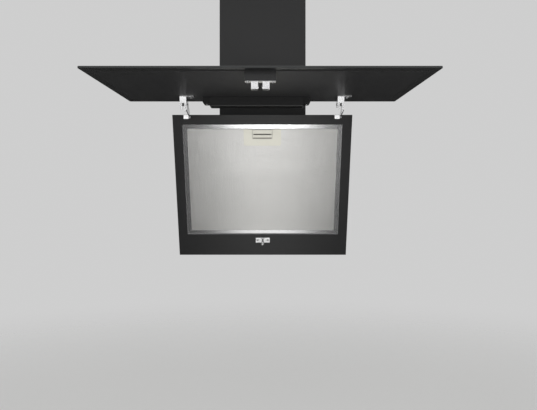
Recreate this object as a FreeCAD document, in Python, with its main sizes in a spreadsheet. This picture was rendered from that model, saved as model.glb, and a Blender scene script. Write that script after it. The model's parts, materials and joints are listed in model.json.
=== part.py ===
"""Wall hood with an inclined body and a flip-up glass front, built as an assembly of separate pieces.

The frame: X to the right, Y into the wall, Z up. The origin is the middle of the four wall holes.
Most pieces are drawn in one of these frames and then stood in place:
  wall    the hood's own frame
  face    on the inclined front: x right, y up the face from its top edge, z out of the face
  panel   on the hinge axis of the open glass front: x right, y towards the hinge edge, z up
  blower  on the fan's axis: x right, y up, z from the wall to the front
"""
import FreeCAD, Part
import math
import os
import re
import Sketcher
from FreeCAD import Placement, Rotation, Vector

# Driving sizes in millimetres and degrees: name, value, what it measures
SIZES = [
    ("body_width", 600, "body, side to side"),
    ("body_height", 480, "body, top to bottom"),
    ("body_top_depth", 340, "body at the top, wall to front edge"),
    ("body_bottom_depth", 180, "body at the bottom, wall to front edge"),
    ("casing_sheet", 1.2, "sheet of the sides, top and bottom"),
    ("back_sheet", 1.2, "sheet of the back"),
    ("frame_sheet", 1.5, "sheet of the inclined front frame"),
    ("border_top", 32.5, "front frame above the filter opening"),
    ("border_side", 32, "front frame beside the filter opening"),
    ("border_bottom", 79.5, "front frame below the filter opening"),
    ("wall_hole_spacing_x", 400, "wall holes, sideways"),
    ("wall_hole_spacing_z", 300, "wall holes, up and down"),
    ("wall_hole_radius", 4.5, "wall hole"),
    ("surround_sheet", 1, "steel surround of the filter"),
    ("surround_flange", 12, "flange of the surround behind the frame"),
    ("rim_depth", 4, "step from the frame down to the flat rim of the surround"),
    ("rim_width", 17, "flat rim of the surround, which shows round the filter"),
    ("pocket_depth", 20, "straight pocket behind the rim, which holds the filter"),
    ("seat_width", 10, "lip at the bottom of the pocket"),
    ("suction_gap", 15.5, "gap between frame opening and filter face"),
    ("filter_edge", 3, "folded edge of the filter face"),
    ("filter_sheet", 1, "sheet of the filter face and frame"),
    ("filter_corner", 2, "corner radius of the filter face"),
    ("filter_clearance", 0.5, "filter frame in its pocket, each side"),
    ("filter_lip", 6, "lips of the filter frame, which hold the mesh"),
    ("mesh_sheet", 1, "one layer of mesh"),
    ("mesh_columns", 10, "gaps across a layer"),
    ("mesh_rows", 8, "gaps up a layer"),
    ("mesh_rib", 6, "rib between two gaps"),
    ("spacer_radius", 2.5, "posts between filter face and frame"),
    ("spacer_inset", 4.5, "edge of the filter frame to the middle of a post"),
    ("latch_width", 64, "latch button, sideways"),
    ("latch_length", 25.5, "latch button, along the face"),
    ("latch_thickness", 3.5, "latch button"),
    ("latch_edge", 2, "top of the filter face to the latch button"),
    ("latch_travel", 5, "how far the latch slides"),
    ("latch_clearance", 0.3, "round the latch"),
    ("finger_slot_width", 4, "finger slot in the latch button"),
    ("finger_slot_end", 2, "latch button beside each end of the finger slot"),
    ("finger_slot_drop", 13, "top of the latch button to the finger slot"),
    ("latch_window_edge", 3, "side of the latch button to the window behind it"),
    ("latch_plate_width", 126, "plate round the latch"),
    ("latch_plate_length", 56, "plate round the latch"),
    ("latch_plate_thickness", 1.5, "plate round the latch"),
    ("latch_plate_corner", 6, "lower corners of the plate round the latch"),
    ("tongue_width", 36, "latch tongue"),
    ("tongue_thickness", 3, "latch tongue"),
    ("tongue_reach", 3.5, "tongue past the wall of the pocket"),
    ("tongue_depth", 5, "front of the pocket to the tongue"),
    ("stem_width", 8, "latch stem, along the face"),
    ("hinge_spacing", 500, "between the two hinges"),
    ("axis_drop", 5.6, "top edge of the face to the hinge axis"),
    ("axis_reach", 9, "face to the hinge axis"),
    ("open_tilt", 1.6, "fall of the open glass towards its free edge"),
    ("block_width", 17, "hinge block"),
    ("block_length", 11.2, "hinge block, along the face"),
    ("block_height", 15, "hinge block, out of the face"),
    ("block_slope", 9.4, "front of the hinge block, from the face"),
    ("block_round", 3, "outer edges of the hinge block"),
    ("block_face", 6.5, "hinge centre to the block's end on the arm's side"),
    ("hinge_screw_spacing", 8.5, "the two screws of a hinge block"),
    ("pin_radius", 2.5, "hinge pin"),
    ("pin_head_radius", 4.2, "hinge pin head"),
    ("pin_head_thickness", 2, "hinge pin head"),
    ("washer_radius", 5, "friction washer"),
    ("washer_thickness", 1, "friction washer"),
    ("running_clearance", 0.05, "round a pin that turns"),
    ("fixed_clearance", 0.02, "round a pin that is held"),
    ("arm_sheet", 3, "cheeks of the hinge arm"),
    ("arm_boss", 5.5, "round end of the hinge arm"),
    ("arm_neck_angle", 30, "where the long cheek leaves its round end"),
    ("arm_slant", 10, "front of the hinge arm, from upright"),
    ("arm_heel", 42, "long cheek at its front"),
    ("arm_foot_sheet", 2, "foot of the hinge arm, on the panel"),
    ("arm_foot_near", 87, "hinge axis to the near end of the foot"),
    ("arm_foot_length", 34, "foot of the hinge arm, along the panel"),
    ("arm_foot_wing", 23, "foot past the long cheek"),
    ("arm_screw_spacing", 20, "the two screws of a foot"),
    ("arm_gap", 18, "between the two cheeks"),
    ("cheek_heel", 33, "short cheek at its front"),
    ("cheek_far", 50, "hinge axis to the far corner of the short cheek"),
    ("cheek_far_drop", 30, "foot to the far corner of the short cheek"),
    ("web_height", 20, "front web between the two cheeks"),
    ("rivet_radius", 3, "rivet through the cheeks"),
    ("rivet_near", 62, "hinge axis to the rivet, along the panel"),
    ("rivet_drop", 22, "foot to the rivet"),
    ("rivet_head", 1, "ends of the rivet outside the cheeks"),
    ("panel_width", 898, "glass front, side to side"),
    ("glass_past_catch", 40.8, "catch to the free edge of the glass"),
    ("glass_thickness", 5, "glass"),
    ("glass_corner", 4, "corner radius of the glass"),
    ("glass_chamfer", 0.8, "ground edge of the glass"),
    ("glass_standoff", 58.1, "hinge axis to the glass"),
    ("hinge_setback", 44.4, "hinge axis to the hinge edge of the glass"),
    ("backing_depth", 2.5, "backing tray"),
    ("backing_inset", 27, "edge of the glass to the backing tray"),
    ("backing_sheet", 1, "backing tray"),
    ("catch_rise", 57.6, "bottom edge of the face to the catch"),
    ("bracket_width", 79, "catch bracket"),
    ("bracket_depth", 36, "catch bracket, along the panel"),
    ("bracket_height", 23, "catch bracket"),
    ("bracket_sheet", 1.2, "catch bracket"),
    ("bracket_front", 15.6, "catch to the bracket's front"),
    ("catch_plate_width", 78, "catch plate"),
    ("catch_plate_depth", 20, "catch plate, along the panel"),
    ("catch_plate_thickness", 1.5, "catch plate"),
    ("catch_screw_spacing", 65, "screws of the catch plate"),
    ("catch_block_width", 17.5, "one half of the catch housing"),
    ("catch_block_depth", 18, "catch housing, along the panel"),
    ("catch_block_height", 18.7, "catch housing below its plate"),
    ("catch_wall", 1.5, "walls of the catch housing"),
    ("catch_slot", 11.6, "between the halves of the catch housing"),
    ("catch_pivot_side", 14, "middle of the catch to an arm's pivot"),
    ("catch_pivot_drop", 3.7, "catch plate to an arm's pivot"),
    ("catch_pin_radius", 1.5, "pivot pins of the catch arms"),
    ("catch_arm_round", 2.8, "round ends of the catch arms"),
    ("catch_arm_sheet", 1.5, "cheeks of the catch arms"),
    ("roller_radius", 4, "catch roller"),
    ("roller_length", 10, "catch roller"),
    ("roller_gap", 6, "between the rollers"),
    ("roller_drop", 15.2, "catch plate to the middle of the rollers"),
    ("roller_pin_radius", 1.2, "axle of a roller"),
    ("roller_side_gap", 0.3, "roller to the cheeks of its arm"),
    ("striker_width", 50, "striker plate"),
    ("striker_length", 18.5, "striker plate, along the face"),
    ("striker_thickness", 1.5, "striker plate"),
    ("striker_screw_spacing", 36, "screws of the striker"),
    ("spear_length", 33.4, "spear out of the face"),
    ("spear_width", 13, "spear, along the face"),
    ("spear_neck", 5, "spear between the rollers"),
    ("spear_bulb", 9, "thick end of the spear"),
    ("bulb_length", 6.5, "length of the thick end"),
    ("spear_tip", 2, "flat tip of the spear"),
    ("control_side", -18, "middle of the control housing, sideways"),
    ("control_near", 71.5, "hinge axis to the control cover's front"),
    ("cover_width", 300, "control cover"),
    ("cover_depth", 60, "control cover, along the panel"),
    ("cover_height", 29, "control cover"),
    ("cover_wall", 1.5, "control cover"),
    ("cover_round", 2, "outer edges of the control cover"),
    ("base_width", 344, "control base"),
    ("base_depth", 52, "control base, along the panel"),
    ("base_height", 20, "control base"),
    ("base_wall", 2, "control base"),
    ("base_bevel", 3, "lower ends of the control base"),
    ("base_gap", 0.3, "control base in its cover"),
    ("base_screw_inset", 11, "end of the control base to its screw"),
    ("board_width", 260, "control board"),
    ("board_depth", 40, "control board"),
    ("board_sheet", 1.6, "control board"),
    ("board_boss_radius", 3, "bosses under the control board"),
    ("board_boss_height", 3, "bosses under the control board"),
    ("screw_radius", 2, "screw shanks"),
    ("screw_head_radius", 3.8, "screw heads"),
    ("screw_crown_radius", 3, "top of a screw head"),
    ("screw_head_height", 2.4, "screw heads"),
    ("screw_length", 8.5, "shanks of the striker and catch screws"),
    ("hinge_screw_length", 6.5, "shanks of the hinge screws"),
    ("panel_screw_reach", 1, "how far a screw stands into the backing tray"),
    ("screw_clearance", 0.2, "round a screw shank"),
    ("chimney_width", 300, "lower chimney"),
    ("chimney_depth", 250, "lower chimney, wall to front"),
    ("chimney_length", 420, "each chimney cover"),
    ("chimney_sheet", 1, "chimney covers"),
    ("chimney_return", 15, "folds of the chimney along the wall"),
    ("chimney_gap", 0.5, "upper cover inside the lower one"),
    ("chimney_rest", 70, "foot of the upper cover above the body"),
    ("chimney_lug", 10, "lugs that carry the upper cover"),
    ("chimney_lug_length", 30, "lugs and feet, wall to front"),
    ("bracket_plate_height", 26, "chimney bracket"),
    ("bracket_plate_drop", 15, "top of the upper cover to the chimney bracket"),
    ("bracket_hole_spacing", 160, "wall holes of the chimney bracket"),
    ("bracket_hole_radius", 3, "wall holes of the chimney bracket"),
    ("bracket_ear", 30, "ears of the chimney bracket"),
    ("duct_radius", 75, "duct collar, outside"),
    ("collar_wall", 1.5, "duct collar"),
    ("collar_height", 60, "duct collar"),
    ("collar_flange", 18, "flange of the collar"),
    ("collar_flange_sheet", 1.5, "flange of the collar"),
    ("ledge_width", 4, "ledge under the flaps"),
    ("ledge_height", 2, "ledge under the flaps"),
    ("flap_rise", 16, "foot of the collar to the flap axis"),
    ("flap_clearance", 2, "flaps to the collar"),
    ("flap_sheet", 1, "flaps"),
    ("flap_pin_radius", 2, "flap pin"),
    ("knuckle_wall", 1.5, "knuckles of the flaps"),
    ("knuckle_length", 16, "knuckles of the flaps"),
    ("knuckle_pitch", 30, "from one knuckle to the next"),
    ("knuckle_gap", 0.5, "flap plate to the other flap's knuckles"),
    ("blower_height", 35, "fan axis above the wall holes"),
    ("scroll_back", 30, "wall to the scroll housing"),
    ("scroll_depth", 140, "scroll housing, wall to front"),
    ("scroll_wall", 1.5, "scroll housing"),
    ("scroll_radius", 135, "scroll at its outlet"),
    ("scroll_step", 10, "how much the scroll narrows each quarter turn"),
    ("outlet_width", 130, "scroll outlet, sideways"),
    ("outlet_rise", 165, "fan axis to the end of the scroll outlet"),
    ("inlet_radius", 78, "inlet of the scroll"),
    ("inlet_lip", 8, "rolled lip of the inlet"),
    ("wheel_radius", 95, "fan wheel"),
    ("wheel_back", 38, "wall to the fan wheel"),
    ("wheel_depth", 120, "fan wheel, along its axis"),
    ("wheel_ring", 13, "end rings of the fan wheel"),
    ("wheel_sheet", 2, "rings and web of the fan wheel"),
    ("wheel_web", 97, "wall to the web of the fan wheel"),
    ("hub_radius", 10, "hub of the fan wheel"),
    ("hub_length", 22, "hub of the fan wheel"),
    ("blade_count", 36, "blades"),
    ("blade_middle", 87.5, "fan axis to the middle of a blade"),
    ("blade_offset", 8, "centre of a blade's curve beside the radius"),
    ("blade_curve", 11, "inner radius of a blade's curve"),
    ("blade_sheet", 1, "blade"),
    ("blade_half_span", 40, "half the turn of a blade's curve"),
    ("shaft_radius", 4, "motor shaft"),
    ("shaft_front", 116, "wall to the end of the shaft"),
    ("bearing_length", 30, "motor shaft inside the motor"),
    ("bearing_end_gap", 0.5, "end of the shaft inside the motor"),
    ("motor_radius", 45, "motor"),
    ("motor_front", 84, "wall to the front of the motor"),
    ("motor_chamfer", 6, "front edge of the motor"),
    ("standoff_radius", 6, "posts between back and scroll"),
    ("standoff_spacing", 130, "posts between back and scroll"),
    ("grommet_side", 115, "middle to the mains inlet"),
    ("grommet_depth", 32, "wall to the mains inlet"),
    ("grommet_hole_radius", 7, "hole of the mains inlet"),
    ("grommet_radius", 10, "grommet"),
    ("grommet_lip", 3, "lips of the grommet"),
    ("grommet_bevel", 1, "upper edge of the grommet"),
    ("grommet_clearance", 0.3, "grommet in its hole"),
    ("cable_hole_radius", 4, "bore of the grommet"),
    ("power_side", 190, "middle of the power box, sideways"),
    ("power_width", 150, "power box"),
    ("power_tall", 140, "power box"),
    ("power_depth", 50, "power box"),
    ("power_wall", 2, "power box"),
    ("lamp_spacing", 380, "between the lamps"),
    ("lamp_depth", 92, "wall to the lamps"),
    ("lamp_hole_radius", 30.5, "lamp holes"),
    ("lamp_radius", 30, "lamp body"),
    ("bezel_radius", 35, "lamp bezel"),
    ("bezel_sheet", 2, "lamp bezel"),
    ("bezel_lip", 3.5, "lip that holds the lens"),
    ("bezel_wall", 1.7, "lamp body wall"),
    ("bezel_height", 16, "lamp body above the bezel"),
    ("lens_thickness", 2.5, "lamp lens"),
    ("lens_clearance", 0.3, "round the lens"),
    ("module_height", 22, "light module above its lens"),
    ("overcut", 1, "how far a cut runs past a face"),
]

# Worked sizes: name and the formula that gives it
WORKED = [
    ("lean", "atan((body_top_depth - body_bottom_depth) / body_height)"),
    ("face_length", "body_height / cos(lean)"),
    ("axis_y", "-body_top_depth - axis_reach * cos(lean) + axis_drop * sin(lean)"),
    ("axis_z", "body_height / 2 - axis_reach * sin(lean) - axis_drop * cos(lean)"),
    ("opening_x", "body_width / 2 - border_side"),
    ("opening_top", "-border_top"),
    ("opening_low", "border_bottom - face_length"),
    ("rim_floor", "-frame_sheet - rim_depth"),
    ("pocket_floor", "rim_floor - pocket_depth"),
    ("filter_x", "opening_x - suction_gap"),
    ("filter_top", "opening_top - suction_gap"),
    ("filter_low", "opening_low + suction_gap"),
    ("cassette_x", "opening_x - rim_width - filter_clearance"),
    ("cassette_top", "opening_top - rim_width - filter_clearance"),
    ("cassette_low", "opening_low + rim_width + filter_clearance"),
    ("latch_top", "filter_top - latch_edge"),
    ("tongue_top", "opening_top - rim_width + tongue_reach"),
    ("tongue_floor", "rim_floor - tongue_depth - tongue_thickness"),
    ("stem_top", "cassette_top - filter_sheet - latch_clearance"),
    ("backing_floor", "glass_standoff - backing_depth"),
    ("catch_drop", "face_length - catch_rise"),
    ("catch_y", "axis_drop - catch_drop"),
    ("free_edge", "catch_y - glass_past_catch"),
    ("arm_inner", "block_face + washer_thickness"),
    ("arm_outer", "arm_inner + arm_sheet"),
    ("arm_far", "arm_inner - arm_gap"),
    ("foot_floor", "backing_floor - arm_foot_sheet"),
    ("catch_top", "backing_floor - bracket_height"),
    ("catch_floor", "catch_top - catch_plate_thickness"),
    ("roller_x", "roller_gap / 2 + roller_radius"),
    ("roller_z", "catch_floor - roller_drop"),
    ("pivot_z", "catch_floor - catch_pivot_drop"),
    ("fork_inner", "roller_length / 2 + roller_side_gap"),
    ("fork_turn", "atan((catch_pivot_side - roller_x) / (pivot_z - roller_z))"),
    ("block_middle", "block_face - block_width / 2"),
    ("foot_middle", "arm_foot_length / 2 - arm_foot_near"),
    ("foot_screw_x", "arm_outer + arm_foot_wing / 2"),
    ("cover_floor", "backing_floor - cover_height"),
    ("control_y", "cover_depth / 2 - control_near"),
    ("base_floor", "backing_floor - base_height"),
    ("duct_y", "scroll_back + (scroll_depth + scroll_wall) / 2"),
    ("collar_bore", "duct_radius - collar_wall"),
    ("flap_radius", "collar_bore - flap_clearance"),
    ("knuckle_radius", "flap_pin_radius + running_clearance + knuckle_wall"),
    ("blower_x", "outlet_width / 2 - scroll_step / 2 - scroll_radius"),
    ("upper_half", "chimney_width / 2 - chimney_sheet - chimney_gap"),
    ("upper_front", "chimney_depth - chimney_sheet - chimney_gap"),
    ("upper_back", "chimney_sheet + chimney_gap"),
    ("upper_foot", "body_height / 2 + chimney_rest"),
]

FRAMES = {
    "wall": ("0", "0", "0 deg"),
    "face": ("-body_top_depth", "body_height / 2", "90 deg + lean"),
    "panel": ("axis_y", "axis_z", "open_tilt"),
    "blower": ("0", "blower_height", "90 deg"),
}

SIDES = {"left": -1, "right": 1}

doc = FreeCAD.newDocument("wall_hood")
sizes = doc.addObject("Spreadsheet::Sheet", "Sizes")
worked = doc.addObject("Spreadsheet::Sheet", "Worked")
home = {name: "Sizes." + name for name, value, note in SIZES}
home.update({name: "Worked." + name for name, text in WORKED})
nodes = []


# Sheets and formulas
def formula(text):
    """Write the sheet's name before each size that a formula uses."""
    return re.sub(r"[a-z][a-z_]*", lambda word: home.get(word.group(0), word.group(0)), text)


def number(text):
    """Give the value of a formula now."""
    value = sizes.evalExpression(formula(text))
    return float(getattr(value, "Value", value))


def fill_sheets():
    for row, (name, value, note) in enumerate(SIZES, 1):
        sizes.set(f"A{row}", note)
        sizes.set(f"B{row}", str(value))
        sizes.setAlias(f"B{row}", name)
    doc.recompute()
    for row, (name, text) in enumerate(WORKED, 1):
        worked.set(f"B{row}", "=" + formula(text))
        worked.setAlias(f"B{row}", name)
        doc.recompute()


# Drawing
def rect(left, low, right, high):
    """A rectangle by its four sides."""
    return [(left, low), (right, low), (right, high), (left, high)]


def circle(x, y, radius):
    return (x, y, radius)


def draw_circle(drawing, x, y, radius):
    centre = Vector(number(x), number(y), 0)
    index = drawing.addGeometry(Part.Circle(centre, Vector(0, 0, 1), number(radius)), False)
    tie(drawing, "DistanceX", (-1, 1, index, 3), x)
    tie(drawing, "DistanceY", (-1, 1, index, 3), y)
    tie(drawing, "Radius", (index,), radius)


def tie(drawing, kind, ends, text):
    """Add one dimension to a drawing and bind it to a formula."""
    index = drawing.addConstraint(Sketcher.Constraint(kind, *ends, number(text)))
    drawing.setExpression(f"Constraints[{index}]", formula(text))


def draw_outline(drawing, corners):
    """Draw a closed outline. A corner with a centre and a turn starts an arc to the next corner."""
    places = [Vector(number(corner[0]), number(corner[1]), 0) for corner in corners]
    ends = []
    for start, corner in enumerate(corners):
        here = places[start]
        there = places[(start + 1) % len(corners)]
        if len(corner) == 2:
            index = drawing.addGeometry(Part.LineSegment(here, there), False)
            ends.append((index, 1, 2))
            continue
        centre = Vector(number(corner[2]), number(corner[3]), 0)
        round_form = Part.Circle(centre, Vector(0, 0, 1), (here - centre).Length)
        first = math.atan2(here.y - centre.y, here.x - centre.x)
        last = math.atan2(there.y - centre.y, there.x - centre.x)
        leftward = corner[4] == "left"
        span = (first, last) if leftward else (last, first)
        index = drawing.addGeometry(Part.ArcOfCircle(round_form, *span), False)
        ends.append((index, 1, 2) if leftward else (index, 2, 1))
    for start, (index, first, last) in enumerate(ends):
        after = ends[(start + 1) % len(ends)]
        drawing.addConstraint(Sketcher.Constraint("Coincident", index, last, after[0], after[1]))
        tie(drawing, "DistanceX", (-1, 1, index, first), corners[start][0])
        tie(drawing, "DistanceY", (-1, 1, index, first), corners[start][1])
        if len(corners[start]) > 2:
            chord = places[(start + 1) % len(places)] - places[start]
            upright = abs(chord.y) >= abs(chord.x)
            kind = "DistanceX" if upright else "DistanceY"
            tie(drawing, kind, (-1, 1, index, 3), corners[start][2 if upright else 3])


def sketch(body, plane, outlines, rise="0"):
    """Draw outlines on one of the body's own planes, moved along its normal by rise."""
    drawing = body.newObject("Sketcher::SketchObject", body.Name + "_sketch")
    support = [part for part in body.Origin.OriginFeatures if part.Role == plane + "_Plane"][0]
    drawing.AttachmentSupport = [(support, "")]
    drawing.MapMode = "FlatFace"
    drawing.setExpression("AttachmentOffset.Base.z", formula(rise))
    for outline in outlines:
        if isinstance(outline, tuple):
            draw_circle(drawing, *outline)
        else:
            draw_outline(drawing, outline)
    doc.recompute()
    return drawing


def pad(body, drawing, length, reverse=False, symmetric=False):
    feature = body.newObject("PartDesign::Pad", body.Name + "_pad")
    return push(feature, drawing, length, reverse, symmetric)


def pocket(body, drawing, length, reverse=False, symmetric=False):
    before = body.Shape.Volume
    feature = body.newObject("PartDesign::Pocket", body.Name + "_pocket")
    push(feature, drawing, length, reverse, symmetric)
    if body.Shape.Volume >= before:
        raise ValueError(f"a cut in {body.Label} removes nothing")
    return feature


def push(feature, drawing, length, reverse, symmetric):
    feature.Profile = drawing
    feature.Reversed = reverse
    if symmetric:
        feature.SideType = "Symmetric"
    feature.setExpression("Length", formula(length))
    doc.recompute()
    return feature


def revolve(body, plane, axis, outlines):
    """Turn an outline about one axis of its own drawing."""
    drawing = sketch(body, plane, outlines)
    feature = body.newObject("PartDesign::Revolution", body.Name + "_turn")
    feature.Profile = drawing
    feature.ReferenceAxis = (drawing, [axis])
    feature.Angle = 360
    doc.recompute()
    return feature


def edges_along(body, axis, keep=None):
    """Names of the straight edges of a body along one axis, all or those that keep accepts."""
    shape = body.Tip.Shape
    names = []
    for index, edge in enumerate(shape.Edges, 1):
        if not isinstance(edge.Curve, Part.Line):
            continue
        run = edge.Vertexes[-1].Point - edge.Vertexes[0].Point
        if abs(abs(run.normalize().dot(axis)) - 1) > 1e-6:
            continue
        if keep is None or keep(edge.CenterOfMass):
            names.append(f"Edge{index}")
    return names


def edges_at(body, height):
    """Names of the edges of a body that lie at one height of its own frame."""
    level = number(height)
    edges = enumerate(body.Tip.Shape.Edges, 1)
    return [f"Edge{index}" for index, edge in edges if abs(edge.CenterOfMass.z - level) < 1e-6]


def soften(body, kind, names, size):
    """Round or bevel the named edges of a body's last feature."""
    before = body.Tip
    feature = body.newObject("PartDesign::" + kind, body.Name + "_" + kind.lower())
    feature.Base = (before, names)
    feature.setExpression("Radius" if kind == "Fillet" else "Size", formula(size))
    doc.recompute()
    return feature


# Bodies and places
def new_body(label, listed=True):
    body = doc.addObject("PartDesign::Body", label)
    body.Label = label
    if listed:
        nodes.append(body)
    return body


def stand(piece, frame, x="0", y="0", z="0"):
    """Place a piece in a frame, at x, y and z along that frame's own axes."""
    base_y, base_z, angle = FRAMES[frame]
    piece.Placement = Placement(Vector(0, 0, 0), Rotation(Vector(1, 0, 0), 45))
    piece.setExpression("Placement.Rotation.Angle", formula(angle))
    piece.setExpression("Placement.Base.x", formula(x))
    across = f"({base_y}) + ({y}) * cos({angle}) - ({z}) * sin({angle})"
    upward = f"({base_z}) + ({y}) * sin({angle}) + ({z}) * cos({angle})"
    piece.setExpression("Placement.Base.y", formula(across))
    piece.setExpression("Placement.Base.z", formula(upward))
    doc.recompute()


def group(label, pieces):
    """Several loose solids that share one node."""
    bundle = doc.addObject("Part::Compound", label)
    bundle.Label = label
    bundle.Links = pieces
    nodes.append(bundle)
    doc.recompute()
    return bundle


UP = Vector(0, 0, 1)
ACROSS = Vector(1, 0, 0)
ALONG = Vector(0, 1, 0)


# Body of the hood
def body_casing():
    body = new_body("body_casing")
    front = "frame_sheet / cos(lean)"
    side = [
        ("0", "-body_height / 2"),
        ("0", "body_height / 2"),
        (f"{front} - body_top_depth", "body_height / 2"),
        (f"{front} - body_bottom_depth", "-body_height / 2"),
    ]
    pad(body, sketch(body, "YZ", [side]), "body_width", symmetric=True)
    half_x = "body_width / 2 - casing_sheet"
    half_z = "body_height / 2 - casing_sheet"
    hollow = rect(f"-({half_x})", f"-({half_z})", half_x, half_z)
    pocket(body, sketch(body, "XZ", [hollow]), "body_top_depth", reverse=True)
    top_holes = [
        circle("0", "-duct_y", "collar_bore"),
        circle("-grommet_side", "-grommet_depth", "grommet_hole_radius"),
    ]
    pocket(body, sketch(body, "XY", top_holes, "body_height / 2"), "2 * casing_sheet")
    lamp_holes = [
        circle(f"{side} * lamp_spacing / 2", "-lamp_depth", "lamp_hole_radius")
        for side in SIDES.values()
    ]
    pocket(body, sketch(body, "XY", lamp_holes, "-body_height / 2"), "2 * casing_sheet", reverse=True)
    stand(body, "wall")


def back_panel():
    body = new_body("back_panel")
    half_x = "(body_width / 2 - casing_sheet)"
    half_z = "(body_height / 2 - casing_sheet)"
    outlines = [rect("-" + half_x, "-" + half_z, half_x, half_z)]
    for across in SIDES.values():
        for up in SIDES.values():
            place = (f"{across} * wall_hole_spacing_x / 2", f"{up} * wall_hole_spacing_z / 2")
            outlines.append(circle(*place, "wall_hole_radius"))
    pad(body, sketch(body, "XZ", outlines), "back_sheet")
    stand(body, "wall")


def screw_places(side):
    """Where the two screws of a hinge block stand, sideways from the middle of the hood."""
    middle = f"{side} * hinge_spacing / 2 + block_middle"
    return [f"{middle} + {way} * hinge_screw_spacing / 2" for way in SIDES.values()]


def front_frame():
    body = new_body("front_frame")
    outlines = [
        rect("-body_width / 2", "-face_length", "body_width / 2", "0"),
        rect("-opening_x", "opening_low", "opening_x", "opening_top"),
    ]
    hole = "screw_radius + screw_clearance"
    for side in SIDES.values():
        for across in screw_places(side):
            outlines.append(circle(across, "-axis_drop", hole))
        outlines.append(circle(f"{side} * striker_screw_spacing / 2", "-catch_drop", hole))
    pad(body, sketch(body, "XY", outlines), "frame_sheet", reverse=True)
    stand(body, "face")


# Filter and its surround
def grown_opening(by):
    """The filter opening, larger on every side by a formula."""
    return rect(f"-opening_x - ({by})", f"opening_low - ({by})", f"opening_x + ({by})", f"opening_top + ({by})")


def filter_surround():
    body = new_body("filter_surround")
    front = "-frame_sheet"
    flange = sketch(body, "XY", [grown_opening("surround_flange")], front)
    pad(body, flange, "surround_sheet", reverse=True)
    step = sketch(body, "XY", [grown_opening("surround_sheet")], front)
    pad(body, step, "rim_depth + surround_sheet", reverse=True)
    wall = sketch(body, "XY", [grown_opening("surround_sheet - rim_width")], "rim_floor")
    pad(body, wall, "pocket_depth + surround_sheet", reverse=True)
    pocket(body, sketch(body, "XY", [grown_opening("0")], front), "rim_depth")
    pocket(body, sketch(body, "XY", [grown_opening("-rim_width")], "rim_floor"), "pocket_depth")
    throat = grown_opening("-rim_width - seat_width")
    pocket(body, sketch(body, "XY", [throat], "pocket_floor"), "2 * surround_sheet")
    half = "(tongue_width / 2 + latch_clearance)"
    window = rect(
        "-" + half,
        "tongue_floor - latch_clearance",
        half,
        "tongue_floor + tongue_thickness + latch_clearance",
    )
    wall_face = "-(opening_top - rim_width) - 2 * surround_sheet"
    pocket(body, sketch(body, "XZ", [window], wall_face), "3 * surround_sheet", reverse=True)
    stand(body, "face")


def filter_face():
    body = new_body("filter_face")
    outline = rect("-filter_x", "filter_low", "filter_x", "filter_top")
    pad(body, sketch(body, "XY", [outline]), "filter_edge", reverse=True)
    soften(body, "Fillet", edges_along(body, UP), "filter_corner")
    inner = rect(
        "filter_sheet - filter_x",
        "filter_low + filter_sheet",
        "filter_x - filter_sheet",
        "filter_top - filter_sheet",
    )
    pocket(body, sketch(body, "XY", [inner], "-filter_edge"), "filter_edge - filter_sheet", reverse=True)
    half = "(latch_width / 2 - latch_window_edge)"
    window = rect(
        "-" + half,
        "latch_top - finger_slot_drop - finger_slot_width - latch_travel",
        half,
        "stem_top + latch_clearance",
    )
    pocket(body, sketch(body, "XY", [window]), "filter_sheet")
    stand(body, "face")


def ring(shrink):
    """Outline of the filter frame, smaller on every side by a formula."""
    return rect(
        f"({shrink}) - cassette_x",
        f"cassette_low + ({shrink})",
        f"cassette_x - ({shrink})",
        f"cassette_top - ({shrink})",
    )


def filter_frame():
    body = new_body("filter_frame")
    lip = ring("filter_sheet + filter_lip")
    pad(body, sketch(body, "XY", [ring("0"), lip], "pocket_floor"), "filter_sheet")
    pad(body, sketch(body, "XY", [ring("0"), ring("filter_sheet")], "pocket_floor"), "pocket_depth")
    pad(body, sketch(body, "XY", [ring("0"), lip], "rim_floor"), "filter_sheet", reverse=True)
    half = "(tongue_width / 2 + latch_clearance)"
    window = rect("-" + half, "tongue_floor - latch_clearance", half, "rim_floor + filter_sheet")
    middle = "(filter_lip + filter_sheet) / 2 - cassette_top"
    pocket(body, sketch(body, "XZ", [window], middle), "filter_lip + 3 * filter_sheet", symmetric=True)
    stand(body, "face")


def filter_mesh():
    """Two layers of holed sheet, one on the other, with their gaps half a step apart."""
    rib = number("mesh_rib")
    columns = int(number("mesh_columns"))
    rows = int(number("mesh_rows"))
    left = number("filter_sheet + filter_clearance - cassette_x")
    low = number("cassette_low + filter_sheet + filter_clearance")
    across = -2 * left
    upward = number("cassette_top - filter_sheet - filter_clearance") - low
    step_x = (across - rib) / (columns + 0.5)
    step_y = (upward - rib) / (rows + 0.5)
    layers = []
    for layer in range(2):
        level = number("pocket_floor + filter_sheet") + layer * number("mesh_sheet")
        sheet = Part.makePlane(across, upward, Vector(left, low, level))
        gaps = []
        for column in range(columns):
            for row in range(rows):
                x = left + rib + (column + layer / 2) * step_x
                y = low + rib + (row + layer / 2) * step_y
                gaps.append(Part.makePlane(step_x - rib, step_y - rib, Vector(x, y, level)))
        holes = [gap.OuterWire.reversed() for gap in gaps]
        face = Part.Face([sheet.OuterWire] + holes)
        layers.append(face.extrude(Vector(0, 0, number("mesh_sheet"))))
    mesh = doc.addObject("Part::Feature", "filter_mesh")
    mesh.Label = "filter_mesh"
    mesh.Shape = Part.makeCompound(layers)
    nodes.append(mesh)
    stand(mesh, "face")


def filter_spacers():
    posts = []
    rows = {
        "low": "cassette_low + spacer_inset",
        "middle": "(cassette_low + cassette_top) / 2",
        "top": "cassette_top - spacer_inset",
    }
    for row, y in rows.items():
        for name, side in SIDES.items():
            body = new_body(f"filter_spacer_{row}_{name}", listed=False)
            x = f"{side} * (cassette_x - spacer_inset)"
            post = sketch(body, "XY", [circle(x, y, "spacer_radius")], "rim_floor")
            pad(body, post, "-filter_sheet - rim_floor")
            stand(body, "face")
            posts.append(body)
    group("filter_spacers", posts)


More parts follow.
